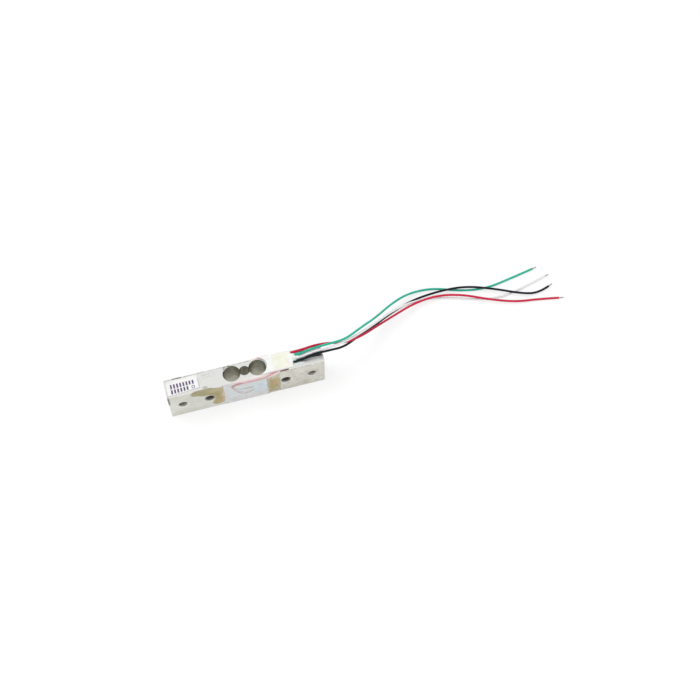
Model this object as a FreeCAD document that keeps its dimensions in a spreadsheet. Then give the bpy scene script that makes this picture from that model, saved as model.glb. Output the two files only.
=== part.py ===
"""Single point load cell: a small binocular bending beam on its side, wired and ready to bolt in.

The beam lies along X with its measuring faces at -Y (front) and +Y (rear). The binocular bores run
up through it along Z, the tapped mounting holes run through it along Y, and the four loose leads
leave over the +X end. The origin is the middle of the face that the beam lies on. Sizes are in mm.
"""
import FreeCAD, Part
import math
import os
import Sketcher

V = FreeCAD.Vector

doc = FreeCAD.newDocument("LoadCell")

# ---------------------------------------------------------------- driving dimensions
SIZES = {
    # aluminium beam
    "beam_length": 47.0,
    "beam_depth": 6.0,
    "beam_height": 12.0,
    "edge_break": 0.2,
    "bore_diameter": 5.2,
    "bore_spacing": 7.7,
    "web_bore_diameter": 3.1,
    "end_margin": 4.0,
    "hole_spacing": 8.0,
    "tap_drill": 2.5,
    "hole_mouth": 2.9,
    "mouth_angle": 90.0,
    # foil strain gauges, one over each thin wall
    "carrier_length": 4.8,
    "carrier_height": 5.8,
    "carrier_thickness": 0.05,
    "carrier_corner": 0.3,
    "carrier_shift": 0.6,
    "foil_thickness": 0.03,
    "grid_length": 2.4,
    "strand_count": 14,
    "strand_width": 0.2,
    "strand_gap": 0.16,
    "loop_width": 0.3,
    "tab_length": 1.0,
    "tab_height": 1.2,
    "tab_gap": 0.7,
    "tab_centre": 1.6,
    # clear film over the gauges of each measuring face
    "film_length": 13.6,
    "film_shift": -0.5,
    "film_rise": 0.2,
    "film_thickness": 0.15,
    "film_corner": 0.4,
    # enamelled wires from the gauges to the terminal board
    "enamel_diameter": 0.13,
    "enamel_lift": 0.12,
    "dot_radius": 0.28,
    "dot_tip_radius": 0.2,
    "dot_height": 0.34,
    # terminal board on the top face
    "board_start": 7.5,
    "board_length": 5.5,
    "board_width": 4.4,
    "board_thickness": 0.15,
    "board_corner": 0.3,
    "board_shift": 0.35,
    "lead_pitch": 1.1,
    "pad_margin": 0.3,
    "pad_width": 0.7,
    "pad_thickness": 0.03,
    "joint_radius": 0.42,
    "joint_tip_radius": 0.22,
    "joint_height": 0.5,
    "joint_inset": 0.4,
    "small_joint_radius": 0.24,
    "small_joint_tip_radius": 0.14,
    "small_joint_height": 0.24,
    "small_joint_inset": 0.3,
    "small_joint_pitch": 0.45,
    "strand_end_diameter": 0.3,
    # silicone sealant over the board, and the tape on it
    "sealant_end": 14.6,
    "sealant_height": 1.0,
    "sealant_margin": 0.2,
    "sealant_rim": 0.3,
    "sealant_round": 0.3,
    "tape_start": 8.6,
    "tape_length": 4.4,
    "tape_width": 5.2,
    "tape_thickness": 0.12,
    "tape_corner": 0.1,
    # paper label on the top face
    "label_length": 9.4,
    "label_width": 5.0,
    "label_thickness": 0.08,
    "label_corner": 0.3,
    "label_margin": 0.5,
    "label_skew": 2.5,
    # dried adhesive beside the front film
    "adhesive_thickness": 0.04,
    "adhesive_gap": 0.1,
    # leads
    "lead_diameter": 0.7,
    "lead_height": 0.5,
    "lead_gap": 0.2,
    "lead_exit": 3.8,
    "tip_diameter": 0.4,
    "tip_length": 1.5,
}

sheet = doc.addObject("Spreadsheet::Sheet", "Sizes")
for row, (alias, value) in enumerate(SIZES.items(), start=1):
    sheet.set(f"A{row}", alias)
    sheet.set(f"B{row}", str(value))
    sheet.setAlias(f"B{row}", alias)
doc.recompute()

FRONT, REAR = -1, 1
LEFT, RIGHT = -1, 1
FACES = {"front": FRONT, "rear": REAR}
SIDES = {"left": LEFT, "right": RIGHT}
parts = []


def size(alias):
    """The value of one cell of the sheet, for shapes that are set in code."""
    return float(sheet.get(alias))


def bind(thing, **expressions):
    """Tie properties of an object to expressions on the sheet; __ stands for a dot."""
    for name, expression in expressions.items():
        thing.setExpression(name.replace("__", "."), expression)


def keep(thing, label):
    """Give a finished sub-part its node name and put it on the list to export."""
    thing.Label = label
    parts.append(thing)
    return thing


def shaped(label, shape):
    """A sub-part whose shape is worked out in code."""
    feature = doc.addObject("Part::Feature", label)
    feature.Shape = shape
    feature.Placement = FreeCAD.Placement()
    return feature


def subtract(label, base, *tools):
    """A cut of one object by others, for pieces that are bedded round their neighbours."""
    tool = tools[0]
    if len(tools) > 1:
        tool = doc.addObject("Part::MultiFuse", f"{label}_room")
        tool.Shapes = list(tools)
    cut = doc.addObject("Part::Cut", f"{label}_cut")
    cut.Base = base
    cut.Tool = tool
    return cut


# ---------------------------------------------------------------- sketches and plates
def origin_plane(body, role):
    return next(f for f in body.Origin.OriginFeatures if f.Role == role)


def new_sketch(body, name, role, lift="0"):
    """A sketch on one of the body's own origin planes, raised along the plane's normal."""
    sketch = body.newObject("Sketcher::SketchObject", name)
    sketch.AttachmentSupport = (origin_plane(body, role), [""])
    sketch.MapMode = "FlatFace"
    bind(sketch, AttachmentOffset__Base__z=lift)
    return sketch


def rectangle(sketch, centre_x, centre_y, width, height):
    """A closed rectangle whose size and middle follow the sheet."""
    corners = [V(-1, -1, 0), V(1, -1, 0), V(1, 1, 0), V(-1, 1, 0)]
    for start, end in zip(corners, corners[1:] + corners[:1]):
        sketch.addGeometry(Part.LineSegment(start, end))
    for line in range(4):
        sketch.addConstraint(Sketcher.Constraint("Coincident", line, 2, (line + 1) % 4, 1))
    for line, kind in enumerate(["Horizontal", "Vertical", "Horizontal", "Vertical"]):
        sketch.addConstraint(Sketcher.Constraint(kind, line))
    for name, kind, value, expression in [
        ("wide", "DistanceX", (0, 1, 0, 2, 2.0), width),
        ("high", "DistanceY", (1, 1, 1, 2, 2.0), height),
        ("from_x", "DistanceX", (-1, 1, 0, 1, -1.0), f"{centre_x} - ({width}) / 2"),
        ("from_y", "DistanceY", (-1, 1, 0, 1, -1.0), f"{centre_y} - ({height}) / 2"),
    ]:
        index = sketch.addConstraint(Sketcher.Constraint(kind, *value))
        sketch.renameConstraint(index, name)
        bind(sketch, **{f"Constraints__{name}": expression})


def circle(sketch, name, centre_x, centre_y, diameter):
    """A circle whose size and middle follow the sheet."""
    shape = sketch.addGeometry(Part.Circle(V(1, 1, 0), V(0, 0, 1), 1.0))
    for suffix, kind, value, expression in [
        ("across", "Diameter", (shape, 2.0), diameter),
        ("from_x", "DistanceX", (-1, 1, shape, 3, 1.0), centre_x),
        ("from_y", "DistanceY", (-1, 1, shape, 3, 1.0), centre_y),
    ]:
        index = sketch.addConstraint(Sketcher.Constraint(kind, *value))
        sketch.renameConstraint(index, f"{name}_{suffix}")
        bind(sketch, **{f"Constraints__{name}_{suffix}": expression})


def plate(label, role, lift, middle, spread, thickness, corner):
    """A thin plate with rounded corners: middle and spread are pairs of sheet expressions."""
    body = doc.addObject("PartDesign::Body", f"{label}_body")
    sketch = new_sketch(body, f"{label}_outline", role, lift)
    rectangle(sketch, *middle, *spread)
    pad = body.newObject("PartDesign::Pad", f"{label}_pad")
    pad.Profile = sketch
    bind(pad, Length=thickness)
    doc.recompute()
    normal = V(0, 0, 1) if role == "XY_Plane" else V(0, 1, 0)
    names = [
        f"Edge{i}"
        for i, edge in enumerate(pad.Shape.Edges, start=1)
        if edge.tangentAt(edge.FirstParameter).cross(normal).Length < 1e-6
    ]
    fillet = body.newObject("PartDesign::Fillet", f"{label}_corners")
    fillet.Base = (pad, names)
    bind(fillet, Radius=corner)
    doc.recompute()
    return body


# ---------------------------------------------------------------- round wires
def rounded_path(points):
    """Straight runs joined by tangent arcs, and the radii of those arcs."""
    corners = [V(*p) for p in points]
    edges, radii = [], []
    start = corners[0]
    for before, corner, after in zip(corners, corners[1:], corners[2:]):
        back, on = before - corner, after - corner
        reach = 0.45 * min(back.Length, on.Length)
        turn = math.pi - back.getAngle(on)
        back.normalize()
        on.normalize()
        radius = reach / math.tan(turn / 2)
        bisector = (back + on).normalize()
        to_arc = math.hypot(reach, radius) - radius
        first, last = corner + back * reach, corner + on * reach
        edges.append(Part.LineSegment(start, first).toShape())
        edges.append(Part.Arc(first, corner + bisector * to_arc, last).toShape())
        radii.append(radius)
        start = last
    edges.append(Part.LineSegment(start, corners[-1]).toShape())
    return Part.Wire(edges), radii


def tube(points, diameter):
    """A round solid swept along the rounded path, with its length and tightest radius."""
    path, radii = rounded_path(points)
    heading = V(*points[1]) - V(*points[0])
    ring = Part.Wire(Part.makeCircle(diameter / 2, V(*points[0]), heading))
    solid = path.makePipeShell([ring], True, False)
    expected = math.pi * diameter ** 2 / 4 * path.Length
    if abs(solid.Volume / expected - 1) > 0.01:
        raise ValueError(f"tube volume {solid.Volume:.3f} is not {expected:.3f}")
    return solid, path.Length, radii


# ---------------------------------------------------------------- beam
def make_beam():
    """The spring element: a bar with binocular bores and four tapped mounting holes."""
    body = doc.addObject("PartDesign::Body", "beam_body")
    outline = new_sketch(body, "beam_outline", "XZ_Plane")
    rectangle(outline, "0", "Sizes.beam_height / 2", "Sizes.beam_length", "Sizes.beam_height")
    bar = body.newObject("PartDesign::Pad", "beam_bar")
    bar.Profile = outline
    bar.Midplane = True
    bind(bar, Length="Sizes.beam_depth")
    doc.recompute()

    edges = body.newObject("PartDesign::Chamfer", "beam_edge_break")
    edges.Base = (bar, [f"Edge{i}" for i in range(1, len(bar.Shape.Edges) + 1)])
    bind(edges, Size="Sizes.edge_break")
    doc.recompute()

    bore_outline = new_sketch(body, "bore_outline", "XY_Plane")
    circle(bore_outline, "bore", "Sizes.bore_spacing / 2", "0", "Sizes.bore_diameter")
    bore = body.newObject("PartDesign::Pocket", "bore")
    bore.Profile = bore_outline
    bore.Type = "ThroughAll"
    bore.Reversed = True
    doc.recompute()
    pair = body.newObject("PartDesign::Mirrored", "bore_pair")
    pair.Originals = [bore]
    pair.MirrorPlane = (origin_plane(body, "YZ_Plane"), [""])
    body.Tip = pair
    doc.recompute()

    web_outline = new_sketch(body, "web_outline", "XY_Plane")
    circle(web_outline, "web", "0", "0", "Sizes.web_bore_diameter")
    web = body.newObject("PartDesign::Pocket", "web_bore")
    web.Profile = web_outline
    web.Type = "ThroughAll"
    web.Reversed = True
    body.Tip = web
    doc.recompute()

    centres = new_sketch(body, "hole_centres", "XZ_Plane", "Sizes.beam_depth / 2")
    outer = "(Sizes.beam_length / 2 - Sizes.end_margin)"
    inner = f"({outer} - Sizes.hole_spacing)"
    for name, across in [("a", f"-{outer}"), ("b", f"-{inner}"), ("c", inner), ("d", outer)]:
        circle(centres, name, across, "Sizes.beam_height / 2", "Sizes.tap_drill")
    doc.recompute()
    holes = body.newObject("PartDesign::Hole", "mounting_holes")
    holes.Profile = centres
    doc.recompute()
    holes.DepthType = "ThroughAll"
    holes.HoleCutType = "Countersink"
    holes.HoleCutCustomValues = True
    bind(
        holes,
        Diameter="Sizes.tap_drill",
        HoleCutDiameter="Sizes.hole_mouth",
        HoleCutCountersinkAngle="Sizes.mouth_angle",
    )
    doc.recompute()
    both = body.newObject("PartDesign::Mirrored", "holes_both_faces")
    both.Originals = [holes]
    both.MirrorPlane = (origin_plane(body, "XZ_Plane"), [""])
    body.Tip = both
    doc.recompute()
    return keep(body, "beam")


# ---------------------------------------------------------------- strain gauges
def face_y(face, height):
    """The Y of a layer that stands a height off a measuring face."""
    return face * (size("beam_depth") / 2 + height)


def layer_box(face, side, x_low, x_high, z_low, z_high, y_low, thickness):
    """A box on a measuring face; x counts from the middle of the beam towards one side."""
    xs = sorted([side * x_low, side * x_high])
    ys = sorted([face_y(face, y_low), face_y(face, y_low + thickness)])
    return Part.makeBox(xs[1] - xs[0], ys[1] - ys[0], z_high - z_low, V(xs[0], ys[0], z_low))


def make_carrier(face_name, side_name):
    """The film that the foil is etched on, glued over one thin wall."""
    face, side = FACES[face_name], SIDES[side_name]
    middle = f"{side} * (Sizes.bore_spacing / 2 - Sizes.carrier_shift)"
    lift = "Sizes.beam_depth / 2"
    if face == REAR:
        lift = f"-({lift} + Sizes.carrier_thickness)"
    label = f"{face_name}_{side_name}_gauge_carrier"
    body = plate(
        label,
        "XZ_Plane",
        lift,
        (middle, "Sizes.beam_height / 2"),
        ("Sizes.carrier_length", "Sizes.carrier_height"),
        "Sizes.carrier_thickness",
        "Sizes.carrier_corner",
    )
    return keep(body, label)


def tab_centres(side):
    """The X and Z of a gauge's two solder tabs."""
    middle = size("beam_height") / 2
    offset = (size("tab_gap") + size("tab_height")) / 2
    return [(side * size("tab_centre"), middle + offset * up) for up in (-1, 1)]


def make_grid(face_name, side_name):
    """The etched foil: strands along the beam, end loops, two necks and two solder tabs."""
    face, side = FACES[face_name], SIDES[side_name]
    lift, thick = size("carrier_thickness"), size("foil_thickness")
    count, width = int(size("strand_count")), size("strand_width")
    pitch = width + size("strand_gap")
    height = count * pitch - size("strand_gap")
    low = size("beam_height") / 2 - height / 2
    near = size("bore_spacing") / 2 - size("grid_length") / 2
    far = near + size("grid_length")
    loop = size("loop_width")

    def foil(x_low, x_high, z_low, z_high):
        return layer_box(face, side, x_low, x_high, z_low, z_high, lift, thick)

    pieces = []
    for strand in range(count):
        base = low + strand * pitch
        pieces.append(foil(near, far, base, base + width))
        if strand < count - 1:
            at_far_end = strand % 2 == 0
            x_loop = far - loop if at_far_end else near
            pieces.append(foil(x_loop, x_loop + loop, base, base + width + pitch))
    neck_x = near - loop - size("strand_gap")
    for (tab_x, tab_z), end in zip(tab_centres(RIGHT), (low, low + height - width)):
        pieces.append(foil(neck_x, near, end, end + width))
        z_low, z_high = min(end, tab_z), max(end + width, tab_z)
        pieces.append(foil(neck_x, neck_x + loop, z_low, z_high))
        half = size("tab_height") / 2
        tab_low = tab_x - size("tab_length") / 2
        pieces.append(foil(tab_low, neck_x + loop, tab_z - half, tab_z + half))
    grid = pieces[0].multiFuse(pieces[1:]).removeSplitter()
    label = f"{face_name}_{side_name}_gauge_foil"
    return keep(shaped(label, grid.Solids[0]), label)


def make_dots(face_name):
    """The solder dots that stand on the four tabs of one measuring face."""
    face = FACES[face_name]
    base = size("carrier_thickness") + size("foil_thickness")
    cones = []
    for side in (LEFT, RIGHT):
        for x, z in tab_centres(side):
            foot = V(x, face_y(face, base), z)
            radii = size("dot_radius"), size("dot_tip_radius")
            cones.append(Part.makeCone(*radii, size("dot_height"), foot, V(0, face, 0)))
    label = f"{face_name}_gauge_solder"
    return keep(shaped(label, Part.makeCompound(cones)), label)


def make_film(face_name, bedded):
    """The clear film over the gauges of one measuring face, bedded round what it covers."""
    face = FACES[face_name]
    lift = "Sizes.beam_depth / 2"
    if face == REAR:
        lift = f"-({lift} + Sizes.film_thickness)"
    label = f"{face_name}_gauge_film"
    blank = plate(
        f"{label}_blank",
        "XZ_Plane",
        lift,
        ("Sizes.film_shift", "Sizes.beam_height / 2"),
        ("Sizes.film_length", "Sizes.beam_height - 2 * Sizes.film_rise"),
        "Sizes.film_thickness",
        "Sizes.film_corner",
    )
    return keep(subtract(label, blank, *bedded), label)


# ---------------------------------------------------------------- terminal board
def lead_row(row):
    """The Y of one lead and its pad, counted from the front."""
    return size("board_shift") + size("lead_pitch") * (row - 1.5)


def pad_top():
    """The Z of the pads' upper faces."""
    return size("beam_height") + size("board_thickness") + size("pad_thickness")


def pad_ends():
    """The X of the two ends of every pad."""
    start, margin = size("board_start"), size("pad_margin")
    return start + margin, start + size("board_length") - margin


def make_board():
    """The thin terminal board, glued to the top face beside the right-hand bore."""
    body = plate(
        "terminal_board",
        "XY_Plane",
        "Sizes.beam_height",
        ("Sizes.board_start + Sizes.board_length / 2", "Sizes.board_shift"),
        ("Sizes.board_length", "Sizes.board_width"),
        "Sizes.board_thickness",
        "Sizes.board_corner",
    )
    return keep(body, "terminal_board")


def make_pads():
    """Four copper pads, one for each lead."""
    start, end = pad_ends()
    width, thick = size("pad_width"), size("pad_thickness")
    pads = [
        Part.makeBox(end - start, width, thick, V(start, lead_row(row) - width / 2, pad_top() - thick))
        for row in range(4)
    ]
    return keep(shaped("terminal_pads", Part.makeCompound(pads)), "terminal_pads")


def lead_start_x():
    """The X at which the leads' insulation begins."""
    return size("board_start") + size("board_length") + size("lead_gap")


def make_lead_joint(colour, row):
    """The solder joint of one lead, with the tinned strand that runs into the insulation."""
    x = pad_ends()[1] - size("joint_inset")
    foot = V(x, lead_row(row), pad_top())
    cone = Part.makeCone(size("joint_radius"), size("joint_tip_radius"), size("joint_height"), foot)
    strand_foot = V(x, lead_row(row), size("beam_height") + size("lead_height"))
    reach = lead_start_x() - x
    strand = Part.makeCylinder(size("strand_end_diameter") / 2, reach, strand_foot, V(1, 0, 0))
    label = f"{colour}_lead_joint"
    return keep(shaped(label, cone.fuse(strand).removeSplitter().Solids[0]), label)


# the pad that each enamelled wire ends on, in the order of their places along the board
ENAMEL_ROWS = {"rear": (1, 2, 3), "front": (2, 1, 0)}


def small_joint_place(face_name, wire):
    """The middle of one small joint's foot."""
    slot = wire if face_name == "rear" else wire + len(ENAMEL_ROWS["rear"])
    x = pad_ends()[0] + size("small_joint_inset") + slot * size("small_joint_pitch")
    return V(x, lead_row(ENAMEL_ROWS[face_name][wire]), pad_top())


def make_small_joints():
    """The six small joints that the enamelled wires end in."""
    radii = size("small_joint_radius"), size("small_joint_tip_radius")
    cones = [
        Part.makeCone(*radii, size("small_joint_height"), small_joint_place(face_name, wire))
        for face_name in FACES
        for wire in range(3)
    ]
    return keep(shaped("enamel_wire_joints", Part.makeCompound(cones)), "enamel_wire_joints")


# ---------------------------------------------------------------- enamelled wires
# Each wire: its tab (side, up), its points on the measuring face as (x, height over the middle of
# the face), its point over the edge as (x, y off the face, z off the top) and its points along the
# top as (x, y in from the edge).
ENAMEL_ROUTES = {
    "front": [
        (
            (RIGHT, 0),
            [(0.3, -1.7), (-1.5, -1.9), (-3.1, -0.2), (-4.3, 2.2), (-4.85, 3.9), (-4.1, 4.85),
             (-1.7, 5.0), (1.7, 4.9), (5.0, 4.9)],
            (7.0, 0.2, 0.2),
            [(8.5, 0.25), (9.2, 0.45), (9.45, 1.1)],
        ),
        (
            (LEFT, 0),
            [(-2.7, -0.1), (-4.05, 2.0), (-4.6, 3.65), (-3.9, 4.55), (-1.6, 4.75), (1.8, 4.65),
             (5.2, 4.65)],
            (7.25, 0.27, 0.06),
            [(8.75, 0.05), (9.55, 0.25), (9.9, 0.9)],
        ),
        (
            (LEFT, 1),
            [(-2.5, 1.4), (-3.8, 2.3), (-4.3, 3.4), (-3.65, 4.25), (-1.5, 4.5), (1.9, 4.4),
             (5.4, 4.4)],
            (7.5, 0.31, -0.1),
            [(9.0, -0.12), (9.9, 0.05), (10.35, 0.7)],
        ),
    ],
    "rear": [
        (
            (LEFT, 0),
            [(-2.5, -0.3), (-2.7, 1.6), (-1.6, 3.4), (0.5, 4.3), (2.6, 4.9)],
            (4.2, 0.22, 0.2),
            [(6.4, 0.45), (7.5, 0.6), (8.1, 1.3)],
        ),
        (
            (RIGHT, 1),
            [(2.2, 1.9), (2.8, 3.5), (3.7, 4.9)],
            (4.8, 0.28, 0.06),
            [(6.6, 0.2), (7.8, 0.35), (8.55, 1.0)],
        ),
        (
            (RIGHT, 0),
            [(2.7, -0.2), (3.3, 1.6), (3.8, 3.5), (4.4, 4.7)],
            (5.4, 0.32, -0.1),
            [(6.8, -0.05), (8.2, 0.1), (8.9, 0.45)],
        ),
    ],
}


def enamel_y(face):
    """The Y of an enamelled wire that lies on the film."""
    return face_y(face, size("film_thickness") + size("enamel_lift"))


def make_enamel_wire(face_name, wire, dots, small_joints):
    """One enamelled wire, from its solder tab over the edge to its pad."""
    face = FACES[face_name]
    (side, up), on_face, over_edge, on_top = ENAMEL_ROUTES[face_name][wire]
    y, top = enamel_y(face), pad_top() + size("enamel_lift")
    tab_x, tab_z = tab_centres(side)[up]
    middle = size("beam_height") / 2
    points = [(tab_x, y, tab_z)] + [(x, y, middle + up_face) for x, up_face in on_face]
    x, off_face, off_top = over_edge
    points.append((x, face_y(face, off_face), size("beam_height") + off_top))
    points += [(x, face_y(face, -off_edge), top) for x, off_edge in on_top]
    end = small_joint_place(face_name, wire)
    points.append((end.x, end.y, top))
    solid, length, radii = tube(points, size("enamel_diameter"))
    label = f"{face_name}_enamelled_wire_{wire + 1}"
    print(f"{label}: length {length:.1f}, radii {min(radii):.2f} to {max(radii):.2f}")
    return keep(subtract(label, shaped(f"{label}_whole", solid), dots, small_joints), label)


def make_link(face_name, dots):
    """The short bare wire that joins the two upper tabs of one measuring face."""
    y = enamel_y(FACES[face_name])
    start, end = (V(x, y, z) for x, z in (tab_centres(LEFT)[1], tab_centres(RIGHT)[1]))
    rod = Part.makeCylinder(size("enamel_diameter") / 2, (end - start).Length, start, end - start)
    label = f"{face_name}_gauge_link"
    return keep(subtract(label, shaped(f"{label}_whole", rod), dots), label)


# ---------------------------------------------------------------- leads
# Each lead's route after its straight exit from the sealant: points on the way over the end of the
# beam, down to the surface that the beam lies on, and along it.
LEAD_ROUTES = {
    "black": [
        (21.0, -0.9, 13.7), (25.5, -0.9, 13.6), (30.5, 0.4, 11.2), (36.5, 5.1, 7.3),
        (42.5, 9.2, 3.7), (49.0, 13.4, 1.3), (57.0, 16.7, 0.6), (66.0, 17.4, 1.2),
        (75.0, 16.8, 1.5), (84.0, 13.2, 1.5), (91.5, 9.6, 1.2), (97.0, 8.8, 0.4),
        (101.0, 10.4, 0.4),
    ],
    "white": [
        (21.0, 0.0, 13.4), (25.5, -0.1, 14.0), (30.5, 0.9, 13.1), (36.5, 4.0, 10.7),
        (42.5, 8.0, 7.6), (49.0, 12.3, 4.6), (56.0, 15.3, 2.0), (63.0, 16.1, 0.4),
        (70.0, 14.3, 0.4), (77.0, 11.7, 0.4), (85.0, 10.3, 0.4), (93.0, 12.0, 0.4),
        (101.0, 14.2, 0.4),
    ],
    "green": [
        (21.5, 1.0, 13.8), (26.0, 0.8, 14.5), (31.0, 1.5, 13.6), (37.0, 5.5, 11.2),
        (43.0, 9.9, 7.2), (50.0, 15.6, 3.5), (57.0, 19.4, 0.9), (65.0, 19.5, 0.4),
        (73.0, 16.2, 0.4), (81.0, 14.8, 0.4), (90.0, 16.3, 0.4), (98.3, 18.0, 0.4),
    ],
    "red": [
        (21.5, 2.4, 12.8), (26.0, 2.2, 12.6), (31.0, 1.5, 11.4), (37.0, 3.7, 9.4),
        (43.0, 7.6, 6.1), (50.0, 11.4, 3.5), (57.0, 14.6, 2.0), (65.0, 15.9, 1.5),
        (73.0, 14.0, 1.6), (81.0, 9.9, 1.5), (89.0, 7.4, 0.7), (96.0, 6.7, 0.4),
        (102.6, 5.4, 0.4),
    ],
}


def make_lead(colour, row):
    """One insulated lead and its stripped, tinned tip."""
    start = (lead_start_x(), lead_row(row), size("beam_height") + size("lead_height"))
    exit_end = (start[0] + size("lead_exit"), start[1], start[2])
    points = [start, exit_end] + LEAD_ROUTES[colour]
    solid, length, radii = tube(points, size("lead_diameter"))
    print(f"{colour}_lead: length {length:.1f}, radii {min(radii):.2f} to {max(radii):.2f}")
    lead = keep(shaped(f"{colour}_lead", solid), f"{colour}_lead")
    end = V(*points[-1])
    heading = end - V(*points[-2])
    tip = Part.makeCylinder(size("tip_diameter") / 2, size("tip_length"), end, heading)
    rim = [edge for edge in tip.Edges if edge.Closed and not edge.CenterOfMass.isEqual(end, 0.01)]
    tip = tip.makeFillet(size("tip_diameter") / 4, rim)
    keep(shaped(f"{colour}_lead_tip", tip), f"{colour}_lead_tip")
    return lead


# ---------------------------------------------------------------- sealant, tape, label, adhesive
def make_sealant(bedded):
    """The silicone over the board: it hugs the bore's rim and holds the leads' first stretch."""
    body = doc.addObject("PartDesign::Body", "sealant_blank")
    outline = new_sketch(body, "sealant_outline", "XY_Plane", "Sizes.beam_height")
    bore_x = "Sizes.bore_spacing / 2"
    rectangle(
        outline,
        f"(Sizes.sealant_end + {bore_x}) / 2",
        "0",
        f"Sizes.sealant_end - {bore_x}",
        "Sizes.beam_depth - 2 * Sizes.sealant_margin",
    )
    block = body.newObject("PartDesign::Pad", "sealant_block")
    block.Profile = outline
    bind(block, Length="Sizes.sealant_height")
    doc.recompute()
    end_edges = [
        f"Edge{i}"
        for i, edge in enumerate(block.Shape.Edges, start=1)
        if abs(edge.CenterOfMass.x - size("sealant_end")) < 0.01
        and edge.CenterOfMass.z > size("beam_height") + 0.01
    ]
    rounded = body.newObject("PartDesign::Fillet", "sealant_rounding")
    rounded.Base = (block, end_edges)
    bind(rounded, Radius="Sizes.sealant_round")
    doc.recompute()
    rim = new_sketch(body, "sealant_rim", "XY_Plane", "Sizes.beam_height")
    circle(rim, "rim", bore_x, "0", "Sizes.bore_diameter + 2 * Sizes.sealant_rim")
    bite = body.newObject("PartDesign::Pocket", "sealant_bite")
    bite.Profile = rim
    bite.Type = "ThroughAll"
    bite.Reversed = True
    body.Tip = bite
    doc.recompute()
    return keep(subtract("sealant", body, *bedded), "sealant")


def make_tape():
    """The strip of tape pressed on the sealant."""
    body = plate(
        "sealant_tape",
        "XY_Plane",
        "Sizes.beam_height + Sizes.sealant_height",
        ("Sizes.tape_start + Sizes.tape_length / 2", "0"),
        ("Sizes.tape_length", "Sizes.tape_width"),
        "Sizes.tape_thickness",
        "Sizes.tape_corner",
    )
    return keep(body, "sealant_tape")


def make_label():
    """The paper label, stuck on a little skewed at the end away from the leads."""
    body = plate(
        "label",
        "XY_Plane",
        "Sizes.beam_height",
        ("0", "0"),
        ("Sizes.label_length", "Sizes.label_width"),
        "Sizes.label_thickness",
        "Sizes.label_corner",
    )
    bind(
        body,
        Placement__Base__x="Sizes.label_length / 2 + Sizes.label_margin - Sizes.beam_length / 2",
        Placement__Rotation__Angle="Sizes.label_skew",
    )
    return keep(body, "label")


# The outlines of the dried adhesive, as (distance from the film's edge, height).
ADHESIVE_OUTLINES = {
    "left": [
        (0.3, 1.8), (1.6, 1.4), (3.0, 1.7), (3.5, 3.0), (2.9, 4.4), (2.6, 6.0), (3.0, 7.3),
        (4.2, 7.8), (5.8, 8.0), (7.4, 9.0), (9.3, 10.3), (7.6, 10.9), (6.4, 11.5), (4.8, 11.5),
        (3.4, 11.0), (1.8, 10.9), (0.3, 11.0), (0.1, 6.5),
    ],
    "right": [
        (0.2, 1.5), (1.6, 1.9), (2.8, 3.2), (2.9, 5.2), (3.1, 7.6), (3.4, 9.4), (3.3, 10.8),
        (1.9, 10.6), (0.3, 9.9), (0.1, 6.0),
    ],
}


def make_adhesive(side_name, film):
    """The skin of adhesive that dried on the front face beside the film."""
    side = SIDES[side_name]
    edge = size("film_shift") + side * (size("film_length") / 2 + size("adhesive_gap"))
    points = [V(edge + side * d, face_y(FRONT, 0), z) for d, z in ADHESIVE_OUTLINES[side_name]]
    outline = Part.BSplineCurve()
    outline.interpolate(points, PeriodicFlag=True)
    face = Part.Face(Part.Wire([outline.toShape()]))
    label = f"front_adhesive_{side_name}"
    skin = shaped(f"{label}_whole", face.extrude(V(0, -size("adhesive_thickness"), 0)))
    return keep(subtract(label, skin, film), label)


# ---------------------------------------------------------------- assembly
make_beam()
dots, films = {}, {}
for face_name in FACES:
    layers = []
    for side_name in SIDES:
        layers.append(make_carrier(face_name, side_name))
        layers.append(make_grid(face_name, side_name))
    dots[face_name] = make_dots(face_name)
    films[face_name] = make_film(face_name, layers + [dots[face_name]])

bedded = [make_board(), make_pads()]
small_joints = make_small_joints()
bedded.append(small_joints)
for face_name in FACES:
    make_link(face_name, dots[face_name])
    for wire in range(3):
        bedded.append(make_enamel_wire(face_name, wire, dots[face_name], small_joints))
for row, colour in enumerate(LEAD_ROUTES):
    bedded.append(make_lead_joint(colour, row))
    bedded.append(make_lead(colour, row))

make_sealant(bedded)
make_tape()
make_label()
for side_name in SIDES:
    make_adhesive(side_name, films["front"])

# ---------------------------------------------------------------- checks and export
doc.recompute()
for thing in doc.Objects:
    if {"Invalid", "Error"} & set(thing.State):
        raise RuntimeError(f"{thing.Name} failed: {thing.State}")
os.makedirs("parts", exist_ok=True)
for part in parts:
    shape = part.Shape
    if shape.isNull() or not shape.isValid() or not shape.Solids:
        raise RuntimeError(f"{part.Label} has no valid solid")
    shape.exportStep(f"parts/{part.Label}.step")
    print(f"{part.Label}: {len(shape.Solids)} solid(s), {shape.Volume:.3f} mm3")
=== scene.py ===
"""The looks of a single point load cell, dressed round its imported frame.

The beam lies along X on its narrow face, with a measuring face at -Y and one at +Y. The binocular
bores run up through it along Z, the tapped holes run through it along Y, and four loose leads leave
over its +X end. Pieces are modelled in millimetres and handed over in metres.
"""
import logging
import math
from dataclasses import dataclass, field
from enum import Enum

import bmesh
import bpy
from mathutils import Matrix, Vector, noise
from mathutils.bvhtree import BVHTree
from mathutils.kdtree import KDTree


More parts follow.
